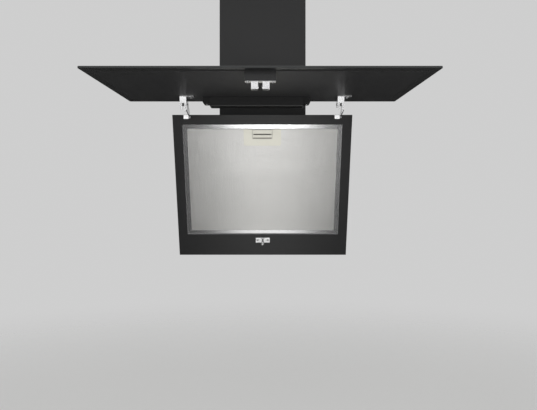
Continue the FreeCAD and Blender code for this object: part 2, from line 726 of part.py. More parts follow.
def latch_plate():
    body = new_body("latch_plate")
    half = "latch_plate_width / 2"
    outline = rect("-" + half, "filter_top - latch_plate_length", half, "filter_top")
    pad(body, sketch(body, "XY", [outline]), "latch_plate_thickness")
    middle = number("filter_top - latch_plate_length / 2")
    soften(body, "Fillet", edges_along(body, UP, lambda place: place.y < middle), "latch_plate_corner")
    slot = "(latch_width / 2 + latch_clearance)"
    low = "latch_top - latch_length - latch_travel - latch_clearance"
    cut = rect("-" + slot, low, slot, "filter_top + overcut")
    pocket(body, sketch(body, "XY", [cut], "latch_plate_thickness"), "latch_plate_thickness")
    stand(body, "face")


def filter_latch():
    body = new_body("filter_latch")
    half = "latch_width / 2"
    button = rect("-" + half, "latch_top - latch_length", half, "latch_top")
    pad(body, sketch(body, "XY", [button], "latch_clearance"), "latch_thickness")
    finger_slot = rect(
        "finger_slot_end - " + half,
        "latch_top - finger_slot_drop - finger_slot_width",
        half + " - finger_slot_end",
        "latch_top - finger_slot_drop",
    )
    crown = "latch_clearance + latch_thickness"
    pocket(body, sketch(body, "XY", [finger_slot], crown), "latch_thickness")
    stem = rect("-tongue_width / 2", "stem_top - stem_width", "tongue_width / 2", "stem_top")
    pad(body, sketch(body, "XY", [stem], "latch_clearance"), "latch_clearance - tongue_floor", reverse=True)
    tongue = rect("-tongue_width / 2", "stem_top - stem_width", "tongue_width / 2", "tongue_top")
    pad(body, sketch(body, "XY", [tongue], "tongue_floor"), "tongue_thickness")
    stand(body, "face")


# Hinges
def hinge_block(name, side):
    body = new_body(f"hinge_block_{name}")
    low = "-axis_drop - block_length / 2"
    high = "block_length / 2 - axis_drop"
    outline = [
        (low, "0"),
        (high, "0"),
        (high, "block_height - block_length * tan(block_slope)"),
        (low, "block_height"),
    ]
    block = sketch(body, "YZ", [outline], "block_face")
    pad(body, block, "block_width", reverse=True)
    middle = number("block_height / 2")
    soften(body, "Fillet", edges_along(body, ACROSS, lambda place: place.z > middle), "block_round")
    bore = circle("-axis_drop", "axis_reach", "pin_radius + fixed_clearance")
    pocket(body, sketch(body, "YZ", [bore], "block_face"), "block_width")
    hole = "screw_radius + fixed_clearance"
    holes = [
        circle(f"block_middle + {way} * hinge_screw_spacing / 2", "-axis_drop", hole)
        for way in SIDES.values()
    ]
    depth = "hinge_screw_length - frame_sheet + screw_clearance"
    pocket(body, sketch(body, "XY", holes), depth, reverse=True)
    stand(body, "face", x=f"{side} * hinge_spacing / 2")


def hinge_pin(name, side):
    body = new_body(f"hinge_pin_{name}")
    tail = "block_face - block_width"
    head = "arm_outer + running_clearance"
    profile = [
        (tail, "0"),
        (f"{head} + pin_head_thickness", "0"),
        (f"{head} + pin_head_thickness", "pin_head_radius"),
        (head, "pin_head_radius"),
        (head, "pin_radius"),
        (tail, "pin_radius"),
    ]
    revolve(body, "XY", "H_Axis", [profile])
    stand(body, "panel", x=f"{side} * hinge_spacing / 2")


def hinge_washers():
    washers = []
    for name, side in SIDES.items():
        body = new_body(f"hinge_washer_{name}", listed=False)
        outlines = [
            circle("0", "0", "washer_radius"),
            circle("0", "0", "pin_radius + running_clearance"),
        ]
        pad(body, sketch(body, "YZ", outlines, "block_face"), "washer_thickness")
        stand(body, "panel", x=f"{side} * hinge_spacing / 2")
        washers.append(body)
    group("hinge_washers", washers)


def arm_front(drop, behind="0"):
    """A point on the slanted front of a hinge arm, below its foot by a formula."""
    return (f"{drop} * tan(arm_slant) + {behind} - arm_foot_near", f"foot_floor - {drop}")


def hinge_arm(name, side):
    """A foot with two cheeks and a front web: the long cheek turns on the pin, a rivet joins both."""
    body = new_body(f"hinge_arm_{name}")
    near = "-arm_foot_near"
    far = "arm_foot_length - arm_foot_near"
    foot = [rect("arm_far", near, "arm_outer + arm_foot_wing", far)]
    for way in SIDES.values():
        along = f"foot_middle + {way} * arm_screw_spacing / 2"
        foot.append(circle("foot_screw_x", along, "screw_radius + screw_clearance"))
    pad(body, sketch(body, "XY", foot, "foot_floor"), "arm_foot_sheet")
    long_cheek = [
        ("-arm_boss", "0", "0", "0", "left"),
        ("arm_boss * cos(arm_neck_angle)", "arm_boss * sin(arm_neck_angle)"),
        (far, "foot_floor"),
        arm_front("0"),
        arm_front("arm_heel"),
    ]
    pad(body, sketch(body, "YZ", [long_cheek], "arm_inner"), "arm_sheet")
    short_cheek = [
        (far, "foot_floor"),
        arm_front("0"),
        arm_front("cheek_heel"),
        ("-cheek_far", "foot_floor - cheek_far_drop"),
    ]
    pad(body, sketch(body, "YZ", [short_cheek], "arm_far"), "arm_sheet")
    web = [
        arm_front("0"),
        arm_front("web_height"),
        arm_front("web_height", "arm_sheet"),
        arm_front("0", "arm_sheet"),
    ]
    pad(body, sketch(body, "YZ", [web], "arm_far"), "arm_gap + arm_sheet")
    rivet = circle("-rivet_near", "foot_floor - rivet_drop", "rivet_radius")
    pad(body, sketch(body, "YZ", [rivet], "arm_far - rivet_head"), "arm_gap + arm_sheet + 2 * rivet_head")
    bore = sketch(body, "YZ", [circle("0", "0", "pin_radius + running_clearance")], "arm_outer")
    pocket(body, bore, "arm_sheet")
    stand(body, "panel", x=f"{side} * hinge_spacing / 2")


# Screws
def screw(label, frame, x, y, z, length, down=False):
    """A pan-head screw with its head under z, or over it, and its shank along the frame's z."""
    body = new_body(label, listed=False)
    sign = "-" if down else ""
    profile = [
        ("0", f"{sign}({length})"),
        ("screw_radius", f"{sign}({length})"),
        ("screw_radius", "0"),
        ("screw_head_radius", "0"),
        ("screw_crown_radius", f"-1 * {sign}1 * screw_head_height"),
        ("0", f"-1 * {sign}1 * screw_head_height"),
    ]
    revolve(body, "XZ", "V_Axis", [profile])
    stand(body, frame, x, y, z)
    return body


def all_screws():
    inside = "-frame_sheet"
    hinge = []
    arm = []
    for name, side in SIDES.items():
        for index, across in enumerate(screw_places(side)):
            label = f"hinge_screw_{name}_{index}"
            hinge.append(screw(label, "face", across, "-axis_drop", inside, "hinge_screw_length"))
        for index, way in enumerate(SIDES.values()):
            across = f"{side} * hinge_spacing / 2 + foot_screw_x"
            along = f"foot_middle + {way} * arm_screw_spacing / 2"
            length = "arm_foot_sheet + backing_sheet + panel_screw_reach"
            arm.append(screw(f"arm_screw_{name}_{index}", "panel", across, along, "foot_floor", length))
    group("hinge_screws", hinge)
    group("arm_screws", arm)
    striker = []
    catch = []
    control = []
    for name, side in SIDES.items():
        across = f"{side} * striker_screw_spacing / 2"
        striker.append(screw(f"striker_screw_{name}", "face", across, "-catch_drop", "striker_thickness",
                             "screw_length", down=True))
        across = f"{side} * catch_screw_spacing / 2"
        catch.append(screw(f"catch_screw_{name}", "panel", across, "catch_y", "catch_floor", "screw_length"))
        across = f"control_side + {side} * (base_width / 2 - base_screw_inset)"
        length = "base_height + backing_sheet + panel_screw_reach"
        control.append(screw(f"control_screw_{name}", "panel", across, "control_y", "base_floor", length))
    group("striker_screws", striker)
    group("catch_screws", catch)
    group("control_screws", control)


# Glass front
def glass_panel():
    body = new_body("glass_panel")
    outline = rect("-panel_width / 2", "free_edge", "panel_width / 2", "hinge_setback")
    pad(body, sketch(body, "XY", [outline], "glass_standoff"), "glass_thickness")
    soften(body, "Fillet", edges_along(body, UP), "glass_corner")
    soften(body, "Chamfer", edges_at(body, "glass_standoff + glass_thickness"), "glass_chamfer")
    stand(body, "panel")


def panel_backing():
    body = new_body("panel_backing")

    def tray(shrink):
        return rect(
            f"backing_inset + {shrink} - panel_width / 2",
            f"free_edge + backing_inset + {shrink}",
            f"panel_width / 2 - backing_inset - {shrink}",
            f"hinge_setback - backing_inset - {shrink}",
        )

    pad(body, sketch(body, "XY", [tray("0")], "backing_floor"), "backing_depth")
    inner = sketch(body, "XY", [tray("backing_sheet")], "glass_standoff")
    pocket(body, inner, "backing_depth - backing_sheet")
    holes = []
    hole = "screw_radius + screw_clearance"
    for side in SIDES.values():
        for way in SIDES.values():
            across = f"{side} * hinge_spacing / 2 + foot_screw_x"
            holes.append(circle(across, f"foot_middle + {way} * arm_screw_spacing / 2", hole))
        holes.append(circle(f"control_side + {side} * (base_width / 2 - base_screw_inset)", "control_y", hole))
    pocket(body, sketch(body, "XY", holes, "backing_floor"), "backing_sheet", reverse=True)
    stand(body, "panel")


# Catch and striker
def catch_bracket():
    body = new_body("catch_bracket")
    near = "catch_y - bracket_front"
    half = "bracket_width / 2"
    outline = rect("-" + half, near, half, f"{near} + bracket_depth")
    pad(body, sketch(body, "XY", [outline], "catch_top"), "bracket_height")
    soften(body, "Fillet", edges_at(body, "catch_top"), "bracket_sheet")
    inner = rect(
        "bracket_sheet - " + half,
        f"{near} + bracket_sheet",
        half + " - bracket_sheet",
        f"{near} + bracket_depth - bracket_sheet",
    )
    pocket(body, sketch(body, "XY", [inner], "backing_floor"), "bracket_height - bracket_sheet")
    holes = [circle(f"{side} * catch_screw_spacing / 2", "catch_y", "screw_radius + screw_clearance")
             for side in SIDES.values()]
    pocket(body, sketch(body, "XY", holes, "catch_top"), "bracket_sheet", reverse=True)
    stand(body, "panel")


def catch_housing():
    body = new_body("catch_housing")
    half = "catch_plate_width / 2"
    plate = [rect("-" + half, "catch_y - catch_plate_depth / 2", half, "catch_y + catch_plate_depth / 2")]
    for side in SIDES.values():
        plate.append(circle(f"{side} * catch_screw_spacing / 2", "catch_y", "screw_radius + screw_clearance"))
    pad(body, sketch(body, "XY", plate, "catch_floor"), "catch_plate_thickness")
    blocks = []
    hollows = []
    pins = []
    for side in SIDES.values():
        inner = f"{side} * catch_slot / 2"
        outer = f"{side} * (catch_slot / 2 + catch_block_width)"
        wall = f"{side} * (catch_slot / 2 + catch_block_width - catch_wall)"
        deep = "catch_block_depth / 2"
        blocks.append(rect(inner, f"catch_y - {deep}", outer, f"catch_y + {deep}"))
        mouth = f"{side} * (catch_slot / 2 - overcut)"
        hollows.append(rect(mouth, f"catch_y - {deep} + catch_wall", wall, f"catch_y + {deep} - catch_wall"))
        pins.append(circle(f"{side} * catch_pivot_side", "pivot_z", "catch_pin_radius + fixed_clearance"))
    pad(body, sketch(body, "XY", blocks, "catch_floor"), "catch_block_height", reverse=True)
    inside = sketch(body, "XY", hollows, "catch_floor - catch_block_height")
    pocket(body, inside, "catch_block_height", reverse=True)
    pocket(body, sketch(body, "XZ", pins, "-catch_y"), "2 * catch_block_depth", symmetric=True)
    stand(body, "panel")


def catch_pins():
    pins = []
    for name, side in SIDES.items():
        body = new_body(f"catch_pin_{name}", listed=False)
        outline = circle(f"{side} * catch_pivot_side", "pivot_z", "catch_pin_radius")
        pad(body, sketch(body, "XZ", [outline], "-catch_y"), "catch_block_depth", symmetric=True)
        stand(body, "panel")
        pins.append(body)
    group("catch_pins", pins)


def catch_arm(name, side):
    """A fork: two cheeks beside the roller, a bridge round the pivot and the roller's axle."""
    body = new_body(f"catch_arm_{name}")
    pivot = (f"{side} * catch_pivot_side", "pivot_z")
    roller = (f"{side} * roller_x", "roller_z")
    out_x = "catch_arm_round * cos(fork_turn)"
    out_z = "catch_arm_round * sin(fork_turn)"
    way = "left" if side > 0 else "right"
    corners = [
        (f"{pivot[0]} + {side} * {out_x}", f"{pivot[1]} - {out_z}", *pivot, way),
        (f"{pivot[0]} - {side} * {out_x}", f"{pivot[1]} + {out_z}"),
        (f"{roller[0]} - {side} * {out_x}", f"{roller[1]} + {out_z}", *roller, way),
        (f"{roller[0]} + {side} * {out_x}", f"{roller[1]} - {out_z}"),
    ]
    for end in SIDES.values():
        start = f"-catch_y - {end} * fork_inner"
        pad(body, sketch(body, "XZ", [corners], start), "catch_arm_sheet", reverse=end > 0)
    bridge = sketch(body, "XZ", [circle(*pivot, "catch_arm_round")], "-catch_y")
    pad(body, bridge, "2 * fork_inner", symmetric=True)
    axle = sketch(body, "XZ", [circle(*roller, "roller_pin_radius")], "-catch_y")
    pad(body, axle, "2 * fork_inner", symmetric=True)
    bore = sketch(body, "XZ", [circle(*pivot, "catch_pin_radius + running_clearance")], "-catch_y")
    pocket(body, bore, "2 * catch_block_depth", symmetric=True)
    stand(body, "panel")


def catch_roller(name, side):
    body = new_body(f"catch_roller_{name}")
    middle = (f"{side} * roller_x", "roller_z")
    outlines = [
        circle(*middle, "roller_radius"),
        circle(*middle, "roller_pin_radius + running_clearance"),
    ]
    pad(body, sketch(body, "XZ", outlines, "-catch_y"), "roller_length", symmetric=True)
    stand(body, "panel")


def striker():
    body = new_body("striker")
    half = "striker_width / 2"
    outlines = [rect("-" + half, "-catch_drop - striker_length / 2", half, "striker_length / 2 - catch_drop")]
    hole = "screw_radius + screw_clearance"
    for side in SIDES.values():
        outlines.append(circle(f"{side} * striker_screw_spacing / 2", "-catch_drop", hole))
    pad(body, sketch(body, "XY", outlines), "striker_thickness")
    neck_end = "spear_length - bulb_length"
    shoulder = "(spear_bulb - spear_neck) / 2"
    right = [
        ("spear_neck / 2", "0"),
        ("spear_neck / 2", neck_end),
        ("spear_bulb / 2", f"{neck_end} + {shoulder}"),
        ("spear_bulb / 2", "spear_length - bulb_length / 2"),
        ("spear_tip / 2", "spear_length"),
    ]
    left = [("-" + x, z) for x, z in reversed(right)]
    pad(body, sketch(body, "XZ", [right + left], "catch_drop"), "spear_width", symmetric=True)
    stand(body, "face")


# Control housing under the glass front
def control_base():
    body = new_body("control_base")

    def tray(shrink):
        return rect(
            f"control_side - base_width / 2 + {shrink}",
            f"control_y - base_depth / 2 + {shrink}",
            f"control_side + base_width / 2 - {shrink}",
            f"control_y + base_depth / 2 - {shrink}",
        )

    pad(body, sketch(body, "XY", [tray("0")], "base_floor"), "base_height")
    floor = number("base_floor")
    soften(body, "Chamfer", edges_along(body, ALONG, lambda place: abs(place.z - floor) < 1e-6), "base_bevel")
    pocket(body, sketch(body, "XY", [tray("base_wall")], "backing_floor"), "base_height - base_wall")
    bosses = []
    for across in SIDES.values():
        for along in SIDES.values():
            x = f"control_side + {across} * (board_width / 2 - board_boss_radius)"
            y = f"control_y + {along} * (board_depth / 2 - board_boss_radius)"
            bosses.append(circle(x, y, "board_boss_radius"))
    pad(body, sketch(body, "XY", bosses, "base_floor + base_wall"), "board_boss_height")
    hole = "screw_radius + screw_clearance"
    holes = [
        circle(f"control_side + {side} * (base_width / 2 - base_screw_inset)", "control_y", hole)
        for side in SIDES.values()
    ]
    pocket(body, sketch(body, "XY", holes, "base_floor"), "base_wall", reverse=True)
    stand(body, "panel")


def control_cover():
    body = new_body("control_cover")

    def shell(shrink):
        return rect(
            f"control_side - cover_width / 2 + {shrink}",
            f"control_y - cover_depth / 2 + {shrink}",
            f"control_side + cover_width / 2 - {shrink}",
            f"control_y + cover_depth / 2 - {shrink}",
        )

    pad(body, sketch(body, "XY", [shell("0")], "cover_floor"), "cover_height")
    soften(body, "Fillet", edges_at(body, "cover_floor"), "cover_round")
    pocket(body, sketch(body, "XY", [shell("cover_wall")], "backing_floor"), "cover_height - cover_wall")
    passage = rect(
        "control_y - base_depth / 2 - base_gap",
        "base_floor - base_gap",
        "control_y + base_depth / 2 + base_gap",
        "backing_floor + overcut",
    )
    pocket(body, sketch(body, "YZ", [passage], "control_side"), "2 * cover_width", symmetric=True)
    stand(body, "panel")


def control_board():
    body = new_body("control_board")
    outline = rect(
        "control_side - board_width / 2",
        "control_y - board_depth / 2",
        "control_side + board_width / 2",
        "control_y + board_depth / 2",
    )
    pad(body, sketch(body, "XY", [outline], "base_floor + base_wall + board_boss_height"), "board_sheet")
    stand(body, "panel")


# Chimney
def channel(half, back, front, sheet, fold):
    """Section of a chimney cover: a front, two sides and two folds along the wall."""
    inner = f"{half} - {sheet}"
    side = [
        (f"{half} - {fold}", f"-({back})"),
        (half, f"-({back})"),
        (half, f"-({front})"),
    ]
    inside = [
        (inner, f"{sheet} - ({front})"),
        (inner, f"-({back}) - {sheet}"),
        (f"{half} - {fold}", f"-({back}) - {sheet}"),
    ]

    def mirrored(corners):
        return [(f"-({x})", y) for x, y in reversed(corners)]

    return side + mirrored(side) + mirrored(inside) + inside


def chimney_lower():
    body = new_body("chimney_lower")
    section = channel("chimney_width / 2", "0", "chimney_depth", "chimney_sheet", "chimney_return")
    foot = "body_height / 2"
    pad(body, sketch(body, "XY", [section], foot), "chimney_length")
    feet = []
    lugs = []
    for side in SIDES.values():
        wall = f"{side} * (chimney_width / 2 - chimney_sheet)"
        middle = "chimney_depth / 2"
        near = f"-{middle} - chimney_lug_length / 2"
        far = f"-{middle} + chimney_lug_length / 2"
        feet.append(rect(f"{side} * (chimney_width / 2 - chimney_return)", near, wall, far))
        lugs.append(rect(f"{side} * (chimney_width / 2 - chimney_lug)", near, wall, far))
    pad(body, sketch(body, "XY", feet, foot), "chimney_sheet")
    pad(body, sketch(body, "XY", lugs, "upper_foot"), "chimney_sheet", reverse=True)
    stand(body, "wall")


def chimney_upper():
    body = new_body("chimney_upper")
    section = channel("upper_half", "upper_back", "upper_front", "chimney_sheet", "chimney_return")
    pad(body, sketch(body, "XY", [section], "upper_foot"), "chimney_length")
    stand(body, "wall")


def chimney_bracket():
    """A strip on the wall with an ear along each side of the upper cover."""
    body = new_body("chimney_bracket")
    inner = "(upper_half - chimney_sheet)"
    top = "upper_foot + chimney_length - bracket_plate_drop"
    low = f"{top} - bracket_plate_height"
    back = "(upper_back + chimney_sheet)"
    plate = [
        (f"-{inner}", f"-{back} - bracket_ear"),
        (f"chimney_sheet - {inner}", f"-{back} - bracket_ear"),
        (f"chimney_sheet - {inner}", f"-{back} - chimney_sheet"),
        (f"{inner} - chimney_sheet", f"-{back} - chimney_sheet"),
        (f"{inner} - chimney_sheet", f"-{back} - bracket_ear"),
        (inner, f"-{back} - bracket_ear"),
        (inner, f"-{back}"),
        (f"-{inner}", f"-{back}"),
    ]
    pad(body, sketch(body, "XY", [plate], low), "bracket_plate_height")
    holes = []
    for side in SIDES.values():
        place = (f"{side} * bracket_hole_spacing / 2", f"{low} + bracket_plate_height / 2")
        holes.append(circle(*place, "bracket_hole_radius"))
    pocket(body, sketch(body, "XZ", holes, back), "4 * chimney_sheet", symmetric=True)
    stand(body, "wall")


# Duct collar and its flaps
def duct_collar():
    body = new_body("duct_collar")
    ledge_top = "flap_rise - flap_sheet / 2"
    profile = [
        ("collar_bore", "0"),
        ("duct_radius + collar_flange", "0"),
        ("duct_radius + collar_flange", "collar_flange_sheet"),
        ("duct_radius", "collar_flange_sheet"),
        ("duct_radius", "collar_height"),
        ("collar_bore", "collar_height"),
        ("collar_bore", ledge_top),
        ("collar_bore - ledge_width", ledge_top),
        ("collar_bore - ledge_width", f"{ledge_top} - ledge_height"),
        ("collar_bore", f"{ledge_top} - ledge_height"),
    ]
    revolve(body, "XZ", "V_Axis", [profile])
    seat = circle("0", "flap_rise", "flap_pin_radius + fixed_clearance")
    pocket(body, sketch(body, "XZ", [seat]), "2 * duct_radius - collar_wall", symmetric=True)
    stand(body, "wall", y="-duct_y", z="body_height / 2")


def flap_pin():
    body = new_body("flap_pin")
    pad(body, sketch(body, "XZ", [circle("0", "flap_rise", "flap_pin_radius")]),
        "2 * duct_radius - collar_wall - 2 * fixed_clearance", symmetric=True)
    stand(body, "wall", y="-duct_y", z="body_height / 2")


def flap(name, turn):
    """Half a disc with two knuckles on the pin. The other flap is the same piece turned about."""
    body = new_body(f"flap_{name}")
    start = "(knuckle_radius + knuckle_gap)"
    half = f"sqrt(flap_radius * flap_radius - {start} * {start})"
    disc = [(start, f"-{half}", "0", "0", "left"), (start, half)]
    level = "flap_rise - flap_sheet / 2"
    pad(body, sketch(body, "XY", [disc], level), "flap_sheet")
    for pitches in (-1.5, 0.5):
        middle = f"{pitches} * knuckle_pitch"
        barrel = sketch(body, "XZ", [circle("0", "flap_rise", "knuckle_radius")], f"-({middle})")
        pad(body, barrel, "knuckle_length", symmetric=True)
        tab = rect("0", f"{middle} - knuckle_length / 2", f"2 * {start}", f"{middle} + knuckle_length / 2")
        pad(body, sketch(body, "XY", [tab], level), "flap_sheet")
    bore = circle("0", "flap_rise", "flap_pin_radius + running_clearance")
    pocket(body, sketch(body, "XZ", [bore]), "4 * flap_radius", symmetric=True)
    body.Placement = Placement(Vector(0, 0, 0), Rotation(Vector(0, 0, 1), turn))
    body.setExpression("Placement.Base.y", formula("-duct_y"))
    body.setExpression("Placement.Base.z", formula("body_height / 2"))
    doc.recompute()


# Blower
def volute(inset, top):
    """Outline of the scroll: three quarter turns that narrow step by step, then the outlet."""
    half = "scroll_step / 2"
    right = f"{half} + scroll_radius - ({inset})"
    left = f"{half} + scroll_radius - outlet_width + ({inset})"
    crest = f"scroll_radius - 2.5 * scroll_step - ({inset})"
    return [
        (right, top),
        (right, half, half, half, "right"),
        (half, f"{half} - scroll_radius + ({inset})", half, f"-{half}", "right"),
        (f"1.5 * scroll_step - scroll_radius + ({inset})", f"-{half}", f"-{half}", f"-{half}", "right"),
        (f"-{half}", crest),
        (left, crest),
        (left, top),
    ]


def scroll_housing():
    body = new_body("scroll_housing")
    pad(body, sketch(body, "XY", [volute("0", "outlet_rise")], "scroll_back"), "scroll_depth")
    hollow = sketch(body, "XY", [volute("scroll_wall", "outlet_rise + overcut")], "scroll_back + scroll_depth")
    pocket(body, hollow, "scroll_depth - scroll_wall")
    stand(body, "blower", x="blower_x")


def scroll_cover():
    body = new_body("scroll_cover")
    front = "scroll_back + scroll_depth"
    outlines = [volute("0", "outlet_rise"), circle("0", "0", "inlet_radius")]
    pad(body, sketch(body, "XY", outlines, front), "scroll_wall")
    lip = [circle("0", "0", "inlet_radius + scroll_wall"), circle("0", "0", "inlet_radius")]
    pad(body, sketch(body, "XY", lip, front), "inlet_lip", reverse=True)
    stand(body, "blower", x="blower_x")


def outlet_adapter():
    """A funnel from the scroll's square outlet to the round collar."""
    foot = number("blower_height + outlet_rise")
    head = number("body_height / 2 - casing_sheet")
    back = -number("scroll_back")
    front = -number("scroll_back + scroll_depth + scroll_wall")
    half = number("outlet_width / 2")
    middle = Vector(0, -number("duct_y"), head)

    def funnel(shrink):
        corners = [
            Vector(-half + shrink, front + shrink, foot),
            Vector(half - shrink, front + shrink, foot),
            Vector(half - shrink, back - shrink, foot),
            Vector(-half + shrink, back - shrink, foot),
        ]
        square = Part.makePolygon(corners + corners[:1])
        radius = number("collar_bore + scroll_wall") - shrink
        arcs = []
        for quarter in range(4):
            turns = [math.radians(225 + 90 * quarter + 45 * part) for part in range(3)]
            spots = [middle + Vector(math.cos(turn), math.sin(turn), 0) * radius for turn in turns]
            arcs.append(Part.Arc(*spots).toShape())
        return Part.makeLoft([square, Part.Wire(arcs)], True, True)

    adapter = doc.addObject("Part::Feature", "outlet_adapter")
    adapter.Label = "outlet_adapter"
    adapter.Shape = funnel(0).cut(funnel(number("scroll_wall")))
    adapter.Placement = Placement()
    nodes.append(adapter)


def blower_standoffs():
    posts = []
    for across in SIDES.values():
        for up in SIDES.values():
            body = new_body(f"blower_standoff_{across + 1}_{up + 1}", listed=False)
            place = (f"{across} * standoff_spacing / 2", f"{up} * standoff_spacing / 2")
            post = sketch(body, "XY", [circle(*place, "standoff_radius")], "back_sheet")
            pad(body, post, "scroll_back - back_sheet")
            stand(body, "blower", x="blower_x")
            posts.append(body)
    group("blower_standoffs", posts)


def motor():
    body = new_body("motor")
    back = "scroll_back + scroll_wall"
    bore = "shaft_radius + running_clearance"
    profile = [
        ("0", back),
        ("motor_radius", back),
        ("motor_radius", "motor_front - motor_chamfer"),
        ("motor_radius - motor_chamfer", "motor_front"),
        (bore, "motor_front"),
        (bore, "motor_front - bearing_length"),
        ("0", "motor_front - bearing_length"),
    ]
    revolve(body, "XZ", "V_Axis", [profile])
    stand(body, "blower", x="blower_x")


def motor_shaft():
    body = new_body("motor_shaft")
    start = "motor_front - bearing_length + bearing_end_gap"
    pad(body, sketch(body, "XY", [circle("0", "0", "shaft_radius")], start), f"shaft_front - ({start})")
    stand(body, "blower", x="blower_x")


def fan_wheel():
    """Web and hub on the shaft, curved blades all round, and a ring at each end."""
    body = new_body("fan_wheel")
    web = [circle("0", "0", "wheel_radius")]
    pad(body, sketch(body, "XY", web, "wheel_web"), "wheel_sheet")
    hub = [circle("0", "0", "hub_radius")]
    pad(body, sketch(body, "XY", hub, "wheel_web + wheel_sheet / 2"), "hub_length", symmetric=True)
    ends = [circle("0", "0", "wheel_radius"), circle("0", "0", "wheel_radius - wheel_ring")]
    pad(body, sketch(body, "XY", ends, "wheel_back"), "wheel_sheet")
    pad(body, sketch(body, "XY", ends, "wheel_back + wheel_depth"), "wheel_sheet", reverse=True)
    centre = ("blade_middle", "-blade_offset")

    def blade_end(side, radius):
        """One end of a blade's curve, outwards on side 1 and inwards on side -1."""
        across = f"blade_middle + {side} * ({radius}) * sin(blade_half_span)"
        return (across, f"({radius}) * cos(blade_half_span) - blade_offset")

    back = "blade_curve + blade_sheet"
    blade = [
        (*blade_end(1, back), *centre, "left"),
        blade_end(-1, back),
        (*blade_end(-1, "blade_curve"), *centre, "right"),
        blade_end(1, "blade_curve"),
    ]
    first = pad(body, sketch(body, "XY", [blade], "wheel_back"), "wheel_depth")
    blades = body.newObject("PartDesign::PolarPattern", "blades")
    blades.Originals = [first]
    axis = [part for part in body.Origin.OriginFeatures if part.Role == "Z_Axis"][0]
    blades.Axis = (axis, [""])
    blades.Angle = 360
    blades.setExpression("Occurrences", formula("blade_count"))
    body.Tip = blades
    doc.recompute()
    bore = sketch(body, "XY", [circle("0", "0", "shaft_radius + fixed_clearance")], "wheel_back + wheel_depth")
    pocket(body, bore, "wheel_depth")
    stand(body, "blower", x="blower_x")


# Mains inlet and power box
def cable_grommet():
    body = new_body("cable_grommet")
    top = "grommet_lip"
    low = "-casing_sheet - grommet_lip"
    neck = "grommet_hole_radius - grommet_clearance"
    profile = [
        ("cable_hole_radius", low),
        ("grommet_radius", low),
        ("grommet_radius", "-casing_sheet"),
        (neck, "-casing_sheet"),
        (neck, "0"),
        ("grommet_radius", "0"),
        ("grommet_radius - grommet_bevel", top),
        ("cable_hole_radius", top),
    ]
    revolve(body, "XZ", "V_Axis", [profile])
    stand(body, "wall", x="-grommet_side", y="-grommet_depth", z="body_height / 2")


def power_box():
    half_x = "power_width / 2"
    half_z = "power_tall / 2"

    def outline(shrink):
        return rect(
            f"power_side - {half_x} + {shrink}",
            f"{shrink} - {half_z}",
            f"power_side + {half_x} - {shrink}",
            f"{half_z} - {shrink}",
        )

    box = new_body("power_box")
    pad(box, sketch(box, "XZ", [outline("0")], "back_sheet"), "power_depth")
    inside = sketch(box, "XZ", [outline("power_wall")], "back_sheet + power_depth")
    pocket(box, inside, "power_depth - power_wall")
    stand(box, "wall")
    lid = new_body("power_box_lid")
    pad(lid, sketch(lid, "XZ", [outline("0")], "back_sheet + power_depth"), "power_wall")
    stand(lid, "wall")


# Lamps
def lamp(name, side):
    place = {"x": f"{side} * lamp_spacing / 2", "y": "-lamp_depth", "z": "-body_height / 2"}
    bore = "lamp_radius - bezel_wall"
    bezel = new_body(f"lamp_bezel_{name}")
    profile = [
        (f"{bore} - bezel_lip", "-bezel_sheet"),
        ("bezel_radius - bezel_sheet / 2", "-bezel_sheet"),
        ("bezel_radius", "0"),
        ("lamp_radius", "0"),
        ("lamp_radius", "bezel_height"),
        (bore, "bezel_height"),
        (bore, "-bezel_sheet / 2"),
        (f"{bore} - bezel_lip", "-bezel_sheet / 2"),
    ]
    revolve(bezel, "XZ", "V_Axis", [profile])
    stand(bezel, "wall", **place)
    lens = new_body(f"lamp_lens_{name}")
    glass = [circle("0", "0", f"{bore} - lens_clearance")]
    pad(lens, sketch(lens, "XY", glass, "-bezel_sheet / 2"), "lens_thickness")
    stand(lens, "wall", **place)
    module = new_body(f"lamp_module_{name}")
    seat = "lens_thickness - bezel_sheet / 2"
    pad(module, sketch(module, "XY", glass, seat), "module_height")
    stand(module, "wall", **place)


def build():
    fill_sheets()
    body_casing()
    back_panel()
    front_frame()
    filter_surround()
    filter_face()
    filter_frame()
    filter_mesh()
    filter_spacers()
    latch_plate()
    filter_latch()
    for name, side in SIDES.items():
        hinge_block(name, side)
        hinge_pin(name, side)
        hinge_arm(name, side)
        catch_arm(name, side)
        catch_roller(name, side)
        lamp(name, side)
    hinge_washers()
    all_screws()
    glass_panel()
    panel_backing()
    catch_bracket()
    catch_housing()
    catch_pins()
    striker()
    control_base()
    control_cover()
    control_board()
    chimney_lower()
    chimney_upper()
    chimney_bracket()
    duct_collar()
    flap_pin()
    flap("left", 180)
    flap("right", 0)
    scroll_housing()
    scroll_cover()
    outlet_adapter()
    blower_standoffs()
    motor()
    motor_shaft()
    fan_wheel()
    cable_grommet()
    power_box()


def write_nodes():
    doc.recompute()
    failed = [thing.Label for thing in doc.Objects if {"Invalid", "Error"} & set(thing.State)]
    for node in nodes:
        if node.Shape.isNull() or not node.Shape.isValid() or not node.Shape.Solids:
            failed.append(node.Label)
    if failed:
        raise ValueError("these did not build: " + ", ".join(failed))
    os.makedirs("parts", exist_ok=True)
    for node in nodes:
        node.Shape.exportStep(f"parts/{node.Label}.step")
        box = node.Shape.BoundBox
        low = f"{box.XMin:.1f} {box.YMin:.1f} {box.ZMin:.1f}"
        high = f"{box.XMax:.1f} {box.YMax:.1f} {box.ZMax:.1f}"
        print(f"{node.Label}: {len(node.Shape.Solids)} solids, {node.Shape.Volume:.0f} mm3, {low} to {high}")
    print(len(nodes), "nodes")


build()
write_nodes()
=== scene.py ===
# %% [markdown]
# # Wall hood with a flip-up glass front
# The hood arrives as finished solids, each in its place and tied to the body that carries it.
# They could be drawn again in Blender, but then the two models would drift apart.
# So the solids stay as they are, and this lesson gives them their finishes, their small fasteners,
# the studio round them and the camera.

